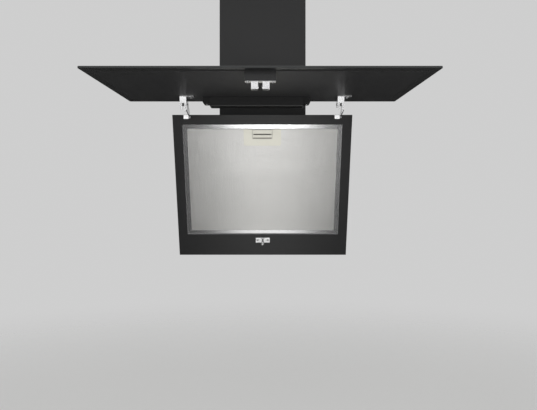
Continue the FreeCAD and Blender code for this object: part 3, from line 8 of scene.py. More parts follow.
# %% Load the solids
import json
import math
import bmesh
import bpy
from mathutils import Matrix, Vector


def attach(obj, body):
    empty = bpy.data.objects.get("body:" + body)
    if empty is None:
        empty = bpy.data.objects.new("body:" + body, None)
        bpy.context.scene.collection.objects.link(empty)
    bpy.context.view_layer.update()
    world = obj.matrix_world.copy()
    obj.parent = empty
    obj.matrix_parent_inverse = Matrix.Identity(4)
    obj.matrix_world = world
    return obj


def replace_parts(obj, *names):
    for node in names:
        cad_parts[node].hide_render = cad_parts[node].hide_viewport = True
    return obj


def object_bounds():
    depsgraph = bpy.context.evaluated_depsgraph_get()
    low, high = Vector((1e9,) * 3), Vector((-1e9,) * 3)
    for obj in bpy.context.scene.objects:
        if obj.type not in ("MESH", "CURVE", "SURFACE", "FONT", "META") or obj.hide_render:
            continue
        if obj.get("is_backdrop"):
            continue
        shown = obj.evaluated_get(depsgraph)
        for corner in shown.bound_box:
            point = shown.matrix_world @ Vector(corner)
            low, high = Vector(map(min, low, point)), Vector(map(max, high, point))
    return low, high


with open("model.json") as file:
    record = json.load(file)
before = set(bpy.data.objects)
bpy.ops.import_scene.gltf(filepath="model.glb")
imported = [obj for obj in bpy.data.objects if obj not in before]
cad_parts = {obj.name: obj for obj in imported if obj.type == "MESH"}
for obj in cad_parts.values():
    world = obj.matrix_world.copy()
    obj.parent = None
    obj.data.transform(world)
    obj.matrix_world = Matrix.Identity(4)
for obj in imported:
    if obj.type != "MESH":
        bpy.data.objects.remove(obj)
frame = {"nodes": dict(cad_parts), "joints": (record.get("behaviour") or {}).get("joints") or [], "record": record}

solids_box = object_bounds()

# %% [markdown]
# Most pieces of this hood lie on one of two slanted boards: the inclined front, and the open glass front.
# Their points could be worked out one by one in the axes of the scene. A matrix for each board is easier,
# because a piece is then drawn flat, in millimetres, and stood in place at once.

# %% Two slanted drawing boards
MM = 0.001
BODY_HEIGHT = 480
BODY_TOP_DEPTH = 340
BODY_BOTTOM_DEPTH = 180
OPEN_TILT = math.radians(1.6)


def slanted_board(corner, slope):
    """A drawing board in millimetres with its origin at a corner, turned about the x axis by a slope."""
    return Matrix.Translation(corner) @ Matrix.Rotation(slope, 4, "X") @ Matrix.Scale(MM, 4)


lean = math.atan((BODY_TOP_DEPTH - BODY_BOTTOM_DEPTH) / BODY_HEIGHT)
face_length = BODY_HEIGHT / math.cos(lean)
face_corner = Vector((0, -BODY_TOP_DEPTH, BODY_HEIGHT / 2)) * MM
hinge_line = next(Vector(joint["pos_m"]) for joint in frame["joints"] if joint["name"] == "panel_swing")
face_board = slanted_board(face_corner, math.pi / 2 + lean)
panel_board = slanted_board(hinge_line, OPEN_TILT)
print(f"front leans {math.degrees(lean):.2f} degrees, {face_length:.1f} mm long")

# %% [markdown]
# The picture is taken by a level camera in front of the filter, a little below the middle of the hood.
# Its place could be found by trial, but the edges of the body and the glass fix it: where their lines
# meet gives the height, and how much the glass outgrows the body gives the distance.

# %% Camera
IMAGE_WIDTH = 537
FOCAL_PIXELS = 560
SENSOR = 36
CAMERA_PLACE = (0.0206, -2.2046, -0.060)
LEVEL = (math.pi / 2, 0, 0)

camera_data = bpy.data.cameras.new("front_camera")
camera_data.sensor_fit = "HORIZONTAL"
camera_data.sensor_width = SENSOR
camera_data.lens = SENSOR * FOCAL_PIXELS / IMAGE_WIDTH
camera = bpy.data.objects.new("front_camera", camera_data)
camera.location = CAMERA_PLACE
camera.rotation_euler = LEVEL
bpy.context.scene.collection.objects.link(camera)
bpy.context.scene.camera = camera
bpy.context.scene.view_settings.view_transform = "Standard"
print(f"lens {camera_data.lens:.2f} mm")

# %% [markdown]
# A material is a graph of nodes, and a graph written node by node is hard to read.
# This small class holds one output of a node and lends it the signs of arithmetic,
# so that `1 - mask` adds a Math node by itself. Every other node comes from its method `node`.

# %% A socket that can be reckoned with
class Line:
    """One output of a node, with the signs of arithmetic for values."""

    def __init__(self, tree, socket):
        self.tree = tree
        self.socket = socket

    def node(self, kind, settings=None, sockets=None, out=0):
        made = self.tree.nodes.new(kind)
        for name, value in (settings or {}).items():
            setattr(made, name, value)
        for name, value in (sockets or {}).items():
            join(value, made.inputs[name])
        return Line(self.tree, made.outputs[out])

    def sum(self, operation, first, second=0.0):
        return self.node("ShaderNodeMath", {"operation": operation}, {0: first, 1: second})

    def __add__(self, other):
        return self.sum("ADD", self, other)

    def __radd__(self, other):
        return self.sum("ADD", other, self)

    def __sub__(self, other):
        return self.sum("SUBTRACT", self, other)

    def __rsub__(self, other):
        return self.sum("SUBTRACT", other, self)

    def __mul__(self, other):
        return self.sum("MULTIPLY", self, other)

    def __rmul__(self, other):
        return self.sum("MULTIPLY", other, self)

    def __gt__(self, other):
        return self.sum("GREATER_THAN", self, other)

    def __lt__(self, other):
        return self.sum("LESS_THAN", self, other)

    def __abs__(self):
        return self.sum("ABSOLUTE", self)


def join(value, socket):
    """Link a line to a socket, or set a number, colour or vector on it."""
    if isinstance(value, Line):
        value.tree.links.new(value.socket, socket)
    elif socket.type == "RGBA" and len(value) == 3:
        socket.default_value = (*value, 1)
    else:
        socket.default_value = value


print("signs for sockets: + - * < > abs")

# %% [markdown]
# A few nodes come back in every finish: cloudy noise, a blend of two colours, sums of vectors, a soft
# step and a bump. They could be written out each time. As short functions they read like the words of a
# recipe. `new_finish` starts each recipe: it sets the numbers that are the same all over, and finds each
# point's place.

# %% Words for the recipes
def noise(place, scale, detail=2.0, roughness=0.5):
    return place.node("ShaderNodeTexNoise", sockets={
        "Vector": place, "Scale": scale, "Detail": detail, "Roughness": roughness})


def blend_colours(share, first, second):
    return share.node("ShaderNodeMix", {"data_type": "RGBA"}, {0: share, 6: first, 7: second}, out=2)


def vectors(operation, first, second=(0, 0, 0), out=0):
    return first.node("ShaderNodeVectorMath", {"operation": operation}, {0: first, 1: second}, out)


def along(vector, axis):
    return vector.node("ShaderNodeSeparateXYZ", sockets={0: vector}, out="XYZ".index(axis))


def larger(first, second):
    return first.sum("MAXIMUM", first, second)


def step(value, low, high):
    """A soft step: 0 below low, 1 above high."""
    return value.node("ShaderNodeMapRange", {"interpolation_type": "SMOOTHSTEP"}, {
        "Value": value, "From Min": low, "From Max": high})


def bump(height, depth, strength, normal=None):
    sockets = {"Height": height, "Distance": depth, "Strength": strength}
    if normal:
        sockets["Normal"] = normal
    return height.node("ShaderNodeBump", sockets=sockets)


def new_finish(name, **fixed):
    """A material with its shader's sockets, and the place on the object where a point lies."""
    material = bpy.data.materials.new(name)
    material.use_nodes = True
    tree = material.node_tree
    shader = tree.nodes["Principled BSDF"]
    for socket, value in fixed.items():
        join(value, shader.inputs[socket.replace("_", " ")])
    place = Line(tree, tree.nodes.new("ShaderNodeTexCoord").outputs["Object"])
    print("finish:", name)
    return material, shader.inputs, place


finishes = {}
print("recipes ready")

# %% [markdown]
# No edge of a real piece is perfectly sharp, and wiping and handling wear a finish there first.
# The edges could be rounded in the mesh, but the solids stay as they are. A bevel node turns the normal
# over each sharp edge instead, and wherever it has turned it, the edge can be told from the flats.
# The finishes paint the edges found this way paler, partly as wear and partly as a painted highlight.

# %% Soft edges, worn and painted with a highlight
EDGE_SAMPLES = 6
EDGE_WEAR_AND_HIGHLIGHT_TURN = (0.02, 0.2)


def round_edges(place, radius):
    """The surface's normal, turned softly over its sharp edges."""
    return place.node("ShaderNodeBevel", {"samples": EDGE_SAMPLES}, {"Radius": radius})


def edge_wear_and_highlight(soft_normal):
    """1 on the rounded edges of a piece, 0 on its flats."""
    flat = soft_normal.node("ShaderNodeNewGeometry", out="True Normal")
    return step(1 - vectors("DOT_PRODUCT", soft_normal, flat, out="Value"), *EDGE_WEAR_AND_HIGHLIGHT_TURN)


# The paler edge set by this turn is wear and a painted highlight.
print("wear starts and is full at a turn of", EDGE_WEAR_AND_HIGHLIGHT_TURN)

# %% [markdown]
# Casing, front frame, chimney and the tray behind the glass are sheet steel with a satin black powder
# coat. A dark colour alone looks like paper. The real coat has a fine orange peel and a gloss that wanders a
# little from place to place, and wiping wears its folded edges paler. Every folded edge is also painted
# paler as a painted highlight, a soft line of light. So noise drives the bump and the roughness, and the
# edge mask drives the colour, as wear and painted highlight together. The tray is seen at a flat angle, at
# which any gloss turns pale, so its coat is duller. Only in a lane above each hinge it is rubbed smooth, as
# a clear coat, and there it mirrors the bright arm.

# %% Satin black powder coat
HINGE_X = 250
RUBBED_LANE = (0.035, 0.07)
WORN_AND_HIGHLIGHT_COAT = (0.05, 0.05, 0.052)
COOL = 1.02


def cool_grey(level):
    """A grey with a trace of blue."""
    return (level, level, level * COOL)


def black_coat(name, gloss, roughness, dark, light, rubbed=0.0):
    material, shader, place = new_finish(name, Specular_IOR_Level=gloss, Coat_Roughness=0.22)
    cloud = noise(place, scale=5, detail=3)
    peel = noise(place, scale=650, detail=2)
    speck = step(noise(place, scale=1900, detail=1), low=0.66, high=0.72)
    soft = round_edges(place, radius=0.0008)
    base = blend_colours(cloud, cool_grey(dark), cool_grey(light))
    # Paler specks, and paler edges that are wear and a painted highlight.
    marked = larger(speck * 0.35, edge_wear_and_highlight(soft) * 0.6)
    join(blend_colours(marked, base, WORN_AND_HIGHLIGHT_COAT), shader["Base Color"])
    join(roughness + cloud * 0.14 + peel * 0.05, shader["Roughness"])
    join(bump(peel, depth=0.0004, strength=0.25, normal=soft), shader["Normal"])
    if rubbed:
        beside = abs(abs(along(place, "X")) - HINGE_X * MM)
        join((1 - step(beside, *RUBBED_LANE)) * rubbed, shader["Coat Weight"])
    return material


finishes["black_paint"] = black_coat("satin_black_coat", gloss=0.34, roughness=0.36,
                                     dark=0.0145, light=0.0195)
finishes["front_frame"] = black_coat("frame_black_coat", gloss=0.5, roughness=0.24,
                                     dark=0.012, light=0.016)
finishes["panel_backing"] = black_coat("tray_black_coat", gloss=0.08, roughness=0.3,
                                       dark=0.028, light=0.036, rubbed=0.35)

# %% [markdown]
# The front is toughened glass with a black print on its back, so it looks black and deep. Real glass with
# a printed layer could be made, but light would have to pass it twice for nothing to be seen. A black
# body under a clear coat gives the same depth on the side that shows when the front is closed. The
# printed side has no coat and is duller, and so is the ground edge, which is also greyer. A row of small
# printed rings marks the touch keys over the control housing. They need no mesh: each point is measured
# from the nearest key, and lies on a ring where that is a ring's radius.

# %% Black glass
KEY_PITCH = 0.034
KEY_RADIUS = 0.0062
KEY_LINE = 0.0006
KEY_COUNT = 5
KEY_MIDDLE = -0.018
KEY_LEVEL = -0.395
PRINT_BLACK = (0.025, 0.025, 0.0255)
GROUND_EDGE = (0.032, 0.034, 0.034)
KEY_WHITE = (0.55, 0.56, 0.57)


def touch_keys(place, upward):
    """1 on the lines of the printed rings, which are on the upper side of the open glass only."""
    across = along(place, "X") - KEY_MIDDLE
    nearest = across.sum("SNAP", across + KEY_PITCH / 2, KEY_PITCH)
    beside = across - nearest
    above = along(place, "Y") - KEY_LEVEL
    reach = beside.sum("SQRT", beside * beside + above * above)
    in_row = abs(across) < KEY_PITCH * (KEY_COUNT / 2)
    return (abs(reach - KEY_RADIUS) < KEY_LINE) * in_row * (upward > 0.5)


def black_glass():
    material, shader, place = new_finish("black_glass", Specular_IOR_Level=0.3, Coat_Roughness=0.03)
    upward = along(place.node("ShaderNodeTexCoord", out="Normal"), "Z")
    edge = 1 - step(abs(upward), low=0.3, high=0.8)
    smear = noise(place, scale=14, detail=4, roughness=0.6)
    base = blend_colours(edge, PRINT_BLACK, GROUND_EDGE)
    join(blend_colours(touch_keys(place, upward), base, KEY_WHITE), shader["Base Color"])
    join(0.3 + smear * 0.07 + edge * 0.15, shader["Roughness"])
    join(step(upward, low=0.3, high=0.6), shader["Coat Weight"])
    soft = round_edges(place, radius=0.0006)
    join(bump(smear, depth=0.0002, strength=0.05, normal=soft), shader["Normal"])
    return material


finishes["black_glass"] = black_glass()

# %% [markdown]
# The filter face is stainless steel, brushed up and down. Brushing could be painted as stripes, but what
# the eye sees is how the scratches spread the light across themselves. So each point's normal is turned a
# little, to one side or the other of the brush line, by a noise that is drawn out long in the brush's
# direction. A coarser noise adds the few strokes that can be told apart, and a wide cloud the faint warm
# film of cooking.

# %% Brushed stainless steel
UP_THE_FACE = (0, -math.sin(lean), math.cos(lean))
STROKES = 14000
STROKE_LENGTH = 14
COARSER = 0.04
SCRATCH_TURN = 0.5
STROKE_DARK, STROKE_LIGHT = (0.775, 0.77, 0.75), (0.805, 0.80, 0.78)
WARM_FILM = (0.70, 0.68, 0.65)


def scaled(vector, factor):
    return vector.node("ShaderNodeVectorMath", {"operation": "SCALE"}, {0: vector, "Scale": factor})


def brushed_steel():
    material, shader, place = new_finish("brushed_filter_steel", Metallic=1.0)
    normal = place.node("ShaderNodeNewGeometry", out="Normal")
    grain = vectors("MULTIPLY", place, (STROKES, STROKE_LENGTH, STROKE_LENGTH))
    scratch = noise(grain, scale=1.0, detail=2, roughness=0.6)
    stroke = noise(scaled(grain, COARSER), scale=1.0, detail=3, roughness=0.6)
    aside = vectors("CROSS_PRODUCT", normal, UP_THE_FACE)
    tilted = vectors("ADD", normal, scaled(aside, (scratch - 0.5) * SCRATCH_TURN))
    cloud = noise(place, scale=3, detail=3)
    base = blend_colours(stroke, STROKE_DARK, STROKE_LIGHT)
    join(blend_colours(cloud * 0.1, base, WARM_FILM), shader["Base Color"])
    join(0.26 + scratch * 0.1 + cloud * 0.04, shader["Roughness"])
    join(vectors("NORMALIZE", tilted), shader["Normal"])
    return material


finishes["stainless"] = brushed_steel()

# %% [markdown]
# The flat rim round the filter face is satin steel with no grain, so a low, even tooth is enough for it.
# The walls of its step are narrow; they are made rougher, and their colour is darkened as painted shade.
# They could have a material of their own, but that would mean sorting the faces of a solid. A mask finds
# them by the way they face instead.

# %% Satin steel rim
OUT_OF_THE_FACE = (0, -math.cos(lean), -math.sin(lean))
WALL_TURN = (0.5, 0.95)
SATIN_DARK, SATIN_LIGHT = (0.77, 0.77, 0.775), (0.81, 0.81, 0.815)
SHADED_WALL = (0.22, 0.22, 0.225)


def walls(place):
    """1 on faces that stand across the inclined front, 0 on those that lie in it."""
    normal = place.node("ShaderNodeNewGeometry", out="True Normal")
    return 1 - step(vectors("DOT_PRODUCT", normal, OUT_OF_THE_FACE, out="Value"), *WALL_TURN)


def satin_steel():
    material, shader, place = new_finish("satin_rim_steel", Metallic=1.0)
    wall = walls(place)
    tooth = noise(place, scale=1400, detail=2)
    cloud = noise(place, scale=9, detail=3)
    flat = blend_colours(cloud, SATIN_DARK, SATIN_LIGHT)
    # Painted shade: the walls of the step take a darker colour.
    join(blend_colours(wall, flat, SHADED_WALL), shader["Base Color"])
    join(0.175 + cloud * 0.04 + tooth * 0.03 + wall * 0.25, shader["Roughness"])
    join(bump(tooth, depth=0.0002, strength=0.05), shader["Normal"])
    return material


finishes["filter_surround"] = satin_steel()

# %% [markdown]
# The latch and the plate round it are satin anodised aluminium with a warm, almost ivory tone. Anodising
# leaves a fine even tooth, finer than paint, so the bump is small and the roughness even. The walls of the
# finger slot and two thin lines along both sides of the latch are painted dark, as painted shade in the
# slot and in the gaps beside the latch. It could be painted by hand. Here the mask of walls finds the slot,
# and two narrow bands of x find the seams.

# %% Warm anodised aluminium
SEAM_X = 0.033
SEAM_HALF = 0.0005
SEAM_LOW = -0.0808
IVORY_DARK, IVORY_LIGHT = (0.80, 0.785, 0.69), (0.86, 0.845, 0.75)
SLOT_AND_SEAM_SHADE = (0.26, 0.25, 0.22)


def warm_aluminium():
    material, shader, place = new_finish("ivory_anodised_aluminium", Metallic=0.1)
    tooth = noise(place, scale=2600, detail=2)
    cloud = noise(place, scale=20, detail=3)
    level = vectors("DOT_PRODUCT", place, UP_THE_FACE, out="Value") - face_corner.dot(Vector(UP_THE_FACE))
    seam = (abs(abs(along(place, "X")) - SEAM_X) < SEAM_HALF) * (level > SEAM_LOW)
    # Painted shade: the slot's walls and the seams beside the latch are darkened.
    slot_and_seam_shade = larger(seam * 0.6, walls(place))
    clean = blend_colours(cloud, IVORY_DARK, IVORY_LIGHT)
    join(blend_colours(slot_and_seam_shade, clean, SLOT_AND_SEAM_SHADE), shader["Base Color"])
    join(0.38 + tooth * 0.12, shader["Roughness"])
    soft = round_edges(place, radius=0.0004)
    join(bump(tooth, depth=0.0002, strength=0.2, normal=soft), shader["Normal"])
    return material


finishes["warm_aluminium"] = warm_aluminium()

# %% [markdown]
# Hinges, catch, striker and screws are pressed steel with bright nickel plating.
# A perfect mirror would show only its surroundings. The plating follows the drawing marks of the press,
# so a low, drawn-out bump and a wandering roughness break the reflection, and the edges are rounded.

# %% Bright nickel plating
PRESS_MARKS = (900, 160, 160)
NICKEL_DARK, NICKEL_LIGHT = (0.74, 0.74, 0.745), (0.86, 0.86, 0.865)


def bright_nickel():
    material, shader, place = new_finish("bright_nickel", Metallic=1.0)
    marks = noise(vectors("MULTIPLY", place, PRESS_MARKS), scale=1.0, detail=3)
    cloud = noise(place, scale=60, detail=3)
    join(blend_colours(cloud, NICKEL_DARK, NICKEL_LIGHT), shader["Base Color"])
    join(0.16 + cloud * 0.12 + marks * 0.06, shader["Roughness"])
    soft = round_edges(place, radius=0.0005)
    join(bump(marks, depth=0.0002, strength=0.15, normal=soft), shader["Normal"])
    return material


finishes["bright_steel"] = bright_nickel()

# %% [markdown]
# The back, the blower housing and the chimney bracket are zinc-coated sheet, which nobody sees once it
# hangs. Zinc freezes in crystals, the spangle. A picture of it would repeat over so large a back. Cells
# of a Voronoi texture, each with its own shade and gloss, look the same and never repeat.

# %% Zinc spangle
SPANGLE = 95.0
ZINC_DARK, ZINC_LIGHT = (0.40, 0.42, 0.44), (0.62, 0.64, 0.65)


def zinc_sheet():
    material, shader, place = new_finish("zinc_spangle", Metallic=0.9)
    crystal = place.node("ShaderNodeTexVoronoi", sockets={
        "Vector": place, "Scale": SPANGLE, "Randomness": 1.0}, out="Color")
    shade = along(crystal, "X")
    frost = noise(place, scale=900, detail=3)
    join(blend_colours(shade, ZINC_DARK, ZINC_LIGHT), shader["Base Color"])
    join(0.32 + shade * 0.2 + frost * 0.1, shader["Roughness"])
    soft = round_edges(place, radius=0.0005)
    join(bump(frost, depth=0.0002, strength=0.15, normal=soft), shader["Normal"])
    return material


finishes["zinc_sheet"] = zinc_sheet()

# %% [markdown]
# Control housing, duct collar, flaps and fan wheel are moulded plastic with the fine grain of an etched
# mould. Each could have its own material, but one recipe serves black and grey alike, with the colour as
# its argument. The edges are painted paler, as wear from handling and as a painted highlight. The control
# cover has real round edges, on which a bevel node finds nothing sharp, so there the paler edge, a painted
# highlight along its fillets, is found by the way a point faces: between two axes of the box.

# %% Moulded plastics
MOULD_GRAIN = 1500.0
FILLET_TURN = (0.8, 0.97)
CLOUD_LIGHTER = 1.35
WEAR_AND_HIGHLIGHT_PALER = 0.075


def fillets(place):
    """1 on the rounded edges of a boxy solid, which face between two of its axes, 0 on its flats."""
    normal = place.node("ShaderNodeTexCoord", out="Normal")
    across, deep, high = (abs(along(normal, axis)) for axis in "XYZ")
    return 1 - step(larger(across, larger(deep, high)), *FILLET_TURN)


def grained_plastic(name, tone, roughness, gloss, boxy=False):
    material, shader, place = new_finish(name, Specular_IOR_Level=gloss)
    grain = place.node("ShaderNodeTexVoronoi", sockets={
        "Vector": place, "Scale": MOULD_GRAIN}, out="Distance")
    cloud = noise(place, scale=12, detail=3)
    soft = round_edges(place, radius=0.0006)
    # The edges are painted paler: wear, and a painted highlight, which on the control cover draws its line of
    # light.
    rubbed = fillets(place) if boxy else edge_wear_and_highlight(soft)
    light = tuple(CLOUD_LIGHTER * part for part in tone)
    worn_and_highlit = tuple(part + WEAR_AND_HIGHLIGHT_PALER for part in tone)
    join(blend_colours(rubbed, blend_colours(cloud, tone, light), worn_and_highlit), shader["Base Color"])
    join(roughness + cloud * 0.12, shader["Roughness"])
    join(bump(grain, depth=0.0003, strength=0.3, normal=soft), shader["Normal"])
    return material


finishes["black_plastic"] = grained_plastic("grained_black_plastic", (0.012, 0.012, 0.0122),
                                            roughness=0.42, gloss=0.3)
finishes["control_cover"] = grained_plastic("rounded_black_plastic", (0.011, 0.011, 0.0112),
                                            roughness=0.36, gloss=0.35, boxy=True)
finishes["grey_plastic"] = grained_plastic("grained_grey_plastic", (0.33, 0.33, 0.325),
                                           roughness=0.42, gloss=0.5)

# %% [markdown]
# The circuit board lies inside the control housing. Its lacquer is green over copper tracks.
# Tracks run square, so a Voronoi texture with square distances draws them better than any wave:
# the distance is cut into even bands, and the middle of each band is a track.

# %% Circuit board
TRACK_CELLS = 170.0
TRACK_BANDS = 5
TRACK_SHARE = 0.16
LACQUER, OVER_COPPER = (0.012, 0.085, 0.03), (0.03, 0.17, 0.06)


def circuit_board():
    material, shader, place = new_finish("green_circuit_board", Coat_Weight=0.5, Coat_Roughness=0.2)
    field = place.node("ShaderNodeTexVoronoi", {"distance": "CHEBYCHEV", "feature": "F1"}, {
        "Vector": place, "Scale": TRACK_CELLS, "Randomness": 0.6}, out="Distance")
    bands = field * TRACK_BANDS
    track = abs(bands.sum("FRACT", bands) - 0.5) < TRACK_SHARE
    join(blend_colours(track, LACQUER, OVER_COPPER), shader["Base Color"])
    join(0.35 + track * 0.1, shader["Roughness"])
    join(bump(track, depth=0.0002, strength=0.3), shader["Normal"])
    return material


finishes["board"] = circuit_board()

# %% [markdown]
# The grommet of the mains inlet is black rubber, and the bead round the tray, a painted shadow line, uses
# the same finish. Rubber is never evenly black: it has a grey bloom in soft patches. A cloudy noise lifts
# colour and roughness together where the bloom lies, and a much finer one gives the dull skin that keeps it
# from looking like paint.

# %% Black rubber
RUBBER_DARK, RUBBER_BLOOM = (0.012, 0.012, 0.012), (0.024, 0.024, 0.024)


def black_rubber():
    material, shader, place = new_finish("black_rubber", Specular_IOR_Level=0.3)
    bloom = noise(place, scale=90, detail=4)
    join(blend_colours(bloom, RUBBER_DARK, RUBBER_BLOOM), shader["Base Color"])
    join(0.62 + bloom * 0.2, shader["Roughness"])
    join(bump(noise(place, scale=1800, detail=2), depth=0.0002, strength=0.2), shader["Normal"])
    return material


finishes["rubber"] = black_rubber()

# %% [markdown]
# The lamp lenses are frosted, so that the light module behind is only guessed at. Clear glass with a
# rough back would be truer, but it would need a second surface. A part of the light goes through, the
# rest is scattered at the surface, and a fine frost in bump and roughness breaks up what is seen through
# it.

# %% Frosted lamp lens
FROST_DARK, FROST_LIGHT = (0.80, 0.80, 0.77), (0.90, 0.90, 0.88)


def frosted_lens():
    material, shader, place = new_finish("frosted_lamp_lens", Transmission_Weight=0.35, IOR=1.49)
    frost = noise(place, scale=1300, detail=3)
    join(blend_colours(frost, FROST_DARK, FROST_LIGHT), shader["Base Color"])
    join(0.42 + frost * 0.2, shader["Roughness"])
    join(bump(frost, depth=0.0003, strength=0.35), shader["Normal"])
    return material


finishes["lens"] = frosted_lens()

# %% [markdown]
# Each solid is given its finish. They could be listed one by one, but the record already says which
# material slot each solid takes. A few solids have a finish of their own, which is kept under the solid's
# name.

# %% Dress the solids
slot_of = {row["node"]: row["material_slot"] for row in frame["record"]["subparts"]}
for name, solid in frame["nodes"].items():
    solid.data.materials.clear()
    solid.data.materials.append(finishes.get(name) or finishes[slot_of[name]])
print("dressed:", len(slot_of))

# %% [markdown]
# Small pieces come next. Blender's ready cylinders and boxes could be stretched to fit, but their edges
# stay sharp. A stack of rings suits both turned and pressed pieces: an outline is drawn at several
# heights, a little smaller where an edge is broken, and joined ring to ring. Each piece is then tied to
# the body that carries it.

# %% Making small pieces
SIDES = {"left": -1, "right": 1}
SMOOTH_BELOW = math.radians(35)
TURNED_SIDES = 28


def draw_ring(mesh, stand, corners, height):
    """The points of a flat outline, drawn at a height and stood in place."""
    return [mesh.verts.new(stand @ Vector((*corner, height))) for corner in corners]


def turned_rings(mesh, stand, profile, sides=TURNED_SIDES):
    """Rings of points round the local z axis; profile lists radius and height from end to end."""
    rings = []
    for radius, height in profile:
        turns = [math.tau * index / sides for index in range(sides)]
        circle = [(radius * math.cos(turn), radius * math.sin(turn)) for turn in turns]
        rings.append(draw_ring(mesh, stand, circle, height))
    return rings


def bridge(mesh, rings):
    """Join each ring of points to the next with a band of faces."""
    for low, high in zip(rings, rings[1:]):
        for index in range(len(low)):
            after = (index + 1) % len(low)
            mesh.faces.new((low[index], low[after], high[after], high[index]))


def fill_stack(mesh, rings):
    """Join a stack of rings, and close it with a face at each end."""
    bridge(mesh, rings)
    mesh.faces.new(rings[0])
    mesh.faces.new(rings[-1])


def new_piece(name, mesh, body, slot, finish=None):
    bmesh.ops.recalc_face_normals(mesh, faces=mesh.faces)
    data = bpy.data.meshes.new(name)
    mesh.to_mesh(data)
    mesh.free()
    data.shade_smooth()
    data.set_sharp_from_angle(angle=SMOOTH_BELOW)
    data.materials.append(finish or finishes[slot])
    piece = bpy.data.objects.new(name, data)
    bpy.context.scene.collection.objects.link(piece)
    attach(piece, body)
    print(f"{name}: {len(data.polygons)} faces on {body}")
    return piece


print(f"edges stay sharp above {math.degrees(SMOOTH_BELOW):.0f} degrees")

# %% [markdown]
# Every screw of the hood is a pan head with a cross recess. The solids have plain heads, because a recess
# is too fine for them. It could be cut with a boolean, but it is only a star with twelve corners: the
# crown is filled round the star, and a narrower star closes it below.

# %% One screw with a cross recess
HEAD_PROFILE = [(2.0, 0.0), (3.75, 0.0), (3.8, 0.25), (3.72, 1.0), (3.5, 1.65), (3.05, 2.2), (2.65, 2.4)]
SHANK_RADIUS = 2.0
TIP_RADIUS, TIP_LENGTH = 0.4, 0.8
RECESS = [(0.42, 1.85, 2.4), (0.3, 1.25, 1.1)]


def star(half_width, reach):
    """The twelve corners of a cross."""
    corners = []
    for quarter in range(4):
        turn = Matrix.Rotation(quarter * math.pi / 2, 2)
        for corner in ((reach, -half_width), (reach, half_width), (half_width, half_width)):
            corners.append(turn @ Vector(corner))
    return corners


def add_screw(mesh, stand, length):
    """A screw whose head starts at the local origin and rises along z, with its shank below."""
    profile = [(TIP_RADIUS, -length), (SHANK_RADIUS, TIP_LENGTH - length)] + HEAD_PROFILE
    rings = turned_rings(mesh, stand, profile)
    bridge(mesh, rings)
    mesh.faces.new(rings[0])
    crosses = [draw_ring(mesh, stand, star(half, reach), height) for half, reach, height in RECESS]
    bridge(mesh, crosses)
    mesh.faces.new(crosses[1])
    loops = [mesh.edges.get((ring[index], ring[(index + 1) % len(ring)]))
             for ring in (rings[-1], crosses[0]) for index in range(len(ring))]
    bmesh.ops.triangle_fill(mesh, edges=loops, use_beauty=True)


print("screw head", 2 * max(radius for radius, _ in HEAD_PROFILE), "mm across")

# %% [markdown]
# The screws hold the hinge blocks, the arms' feet, the striker, the catch and the control housing. Copies
# of one screw could be linked, but each set rides on its own body and stands for one solid, so each set
# is drawn as one mesh. No two recesses end up turned alike on a real hood, so each is twisted.

# %% Screws in their places
AXIS_DROP = 5.6
FRAME_SHEET = 1.5
STRIKER_SHEET = 1.5
BLOCK_MIDDLE = -2
FOOT_FLOOR = 53.6
FOOT_SCREW_X, FOOT_MIDDLE = 22, -70
CATCH_RISE, CATCH_FLOOR = 57.6, 31.1
CONTROL_BASE = (-18, -41.5, 35.6)
HINGE_SCREWS, FOOT_SCREWS, STRIKER_SCREWS, CATCH_SCREWS, CONTROL_SCREWS = 4.25, 10, 18, 32.5, 161
FIRST_TWIST, NEXT_TWIST = 0.5, 1.3
UP = Matrix.Identity(4)
DOWN = Matrix.Rotation(math.pi, 4, "X")

both = tuple(SIDES.values())
catch_drop = face_length - CATCH_RISE
catch_y = AXIS_DROP - catch_drop
screw_sets = {
    "hinge_screws": ("hood", face_board @ Matrix.Translation((0, -AXIS_DROP, -FRAME_SHEET)), DOWN, 6.5,
                     [(side * HINGE_X + BLOCK_MIDDLE + way * HINGE_SCREWS, 0)
                      for side in both for way in both]),
    "arm_screws": ("front_panel", panel_board @ Matrix.Translation((0, 0, FOOT_FLOOR)), DOWN, 4,
                   [(side * HINGE_X + FOOT_SCREW_X, FOOT_MIDDLE + way * FOOT_SCREWS)
                    for side in both for way in both]),
    "striker_screws": ("hood", face_board @ Matrix.Translation((0, -catch_drop, STRIKER_SHEET)), UP, 8.5,
                       [(side * STRIKER_SCREWS, 0) for side in both]),
    "catch_screws": ("front_panel", panel_board @ Matrix.Translation((0, catch_y, CATCH_FLOOR)),
                     DOWN, 8.5, [(side * CATCH_SCREWS, 0) for side in both]),
    "control_screws": ("front_panel", panel_board @ Matrix.Translation(CONTROL_BASE), DOWN, 22,
                       [(side * CONTROL_SCREWS, 0) for side in both]),
}
for node, (body, board, way, length, places) in screw_sets.items():
    mesh = bmesh.new()
    for index, (x, y) in enumerate(places):
        twist = Matrix.Rotation(FIRST_TWIST + NEXT_TWIST * index, 4, "Z")
        add_screw(mesh, board @ Matrix.Translation((x, y, 0)) @ way @ twist, length)
    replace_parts(new_piece("cross_" + node, mesh, body, "bright_steel"), node)

# %% [markdown]
# Between the cheeks of each hinge arm a coil spring sits on the rivet and carries part of the weight of
# the glass. The coil is a line that climbs round the rivet. A curve with a round bevel would do, and so
# does a tube of rings that follows the line, which stays a plain mesh like the other pieces. Outside the
# cheeks the rivet is closed with a low dome at each end, turned from a profile.

# %% Hinge springs and rivet heads
COIL_RADIUS = 4.4
WIRE_RADIUS = 0.75
COIL_TURNS = 6
COIL_STEPS = 26
WIRE_SIDES = 8
RIVET = (-62, 31.6)
RIVET_HEAD = 1
RIVET_DOME = [(3.02, -0.95), (4.3, -0.95), (4.25, -0.5), (3.8, 0.2), (2.6, 0.75), (1.2, 0.95), (0.3, 1.0)]
ARM_NEAR, ARM_FAR = 7.5, -10.5
ARM_SHEET = 3


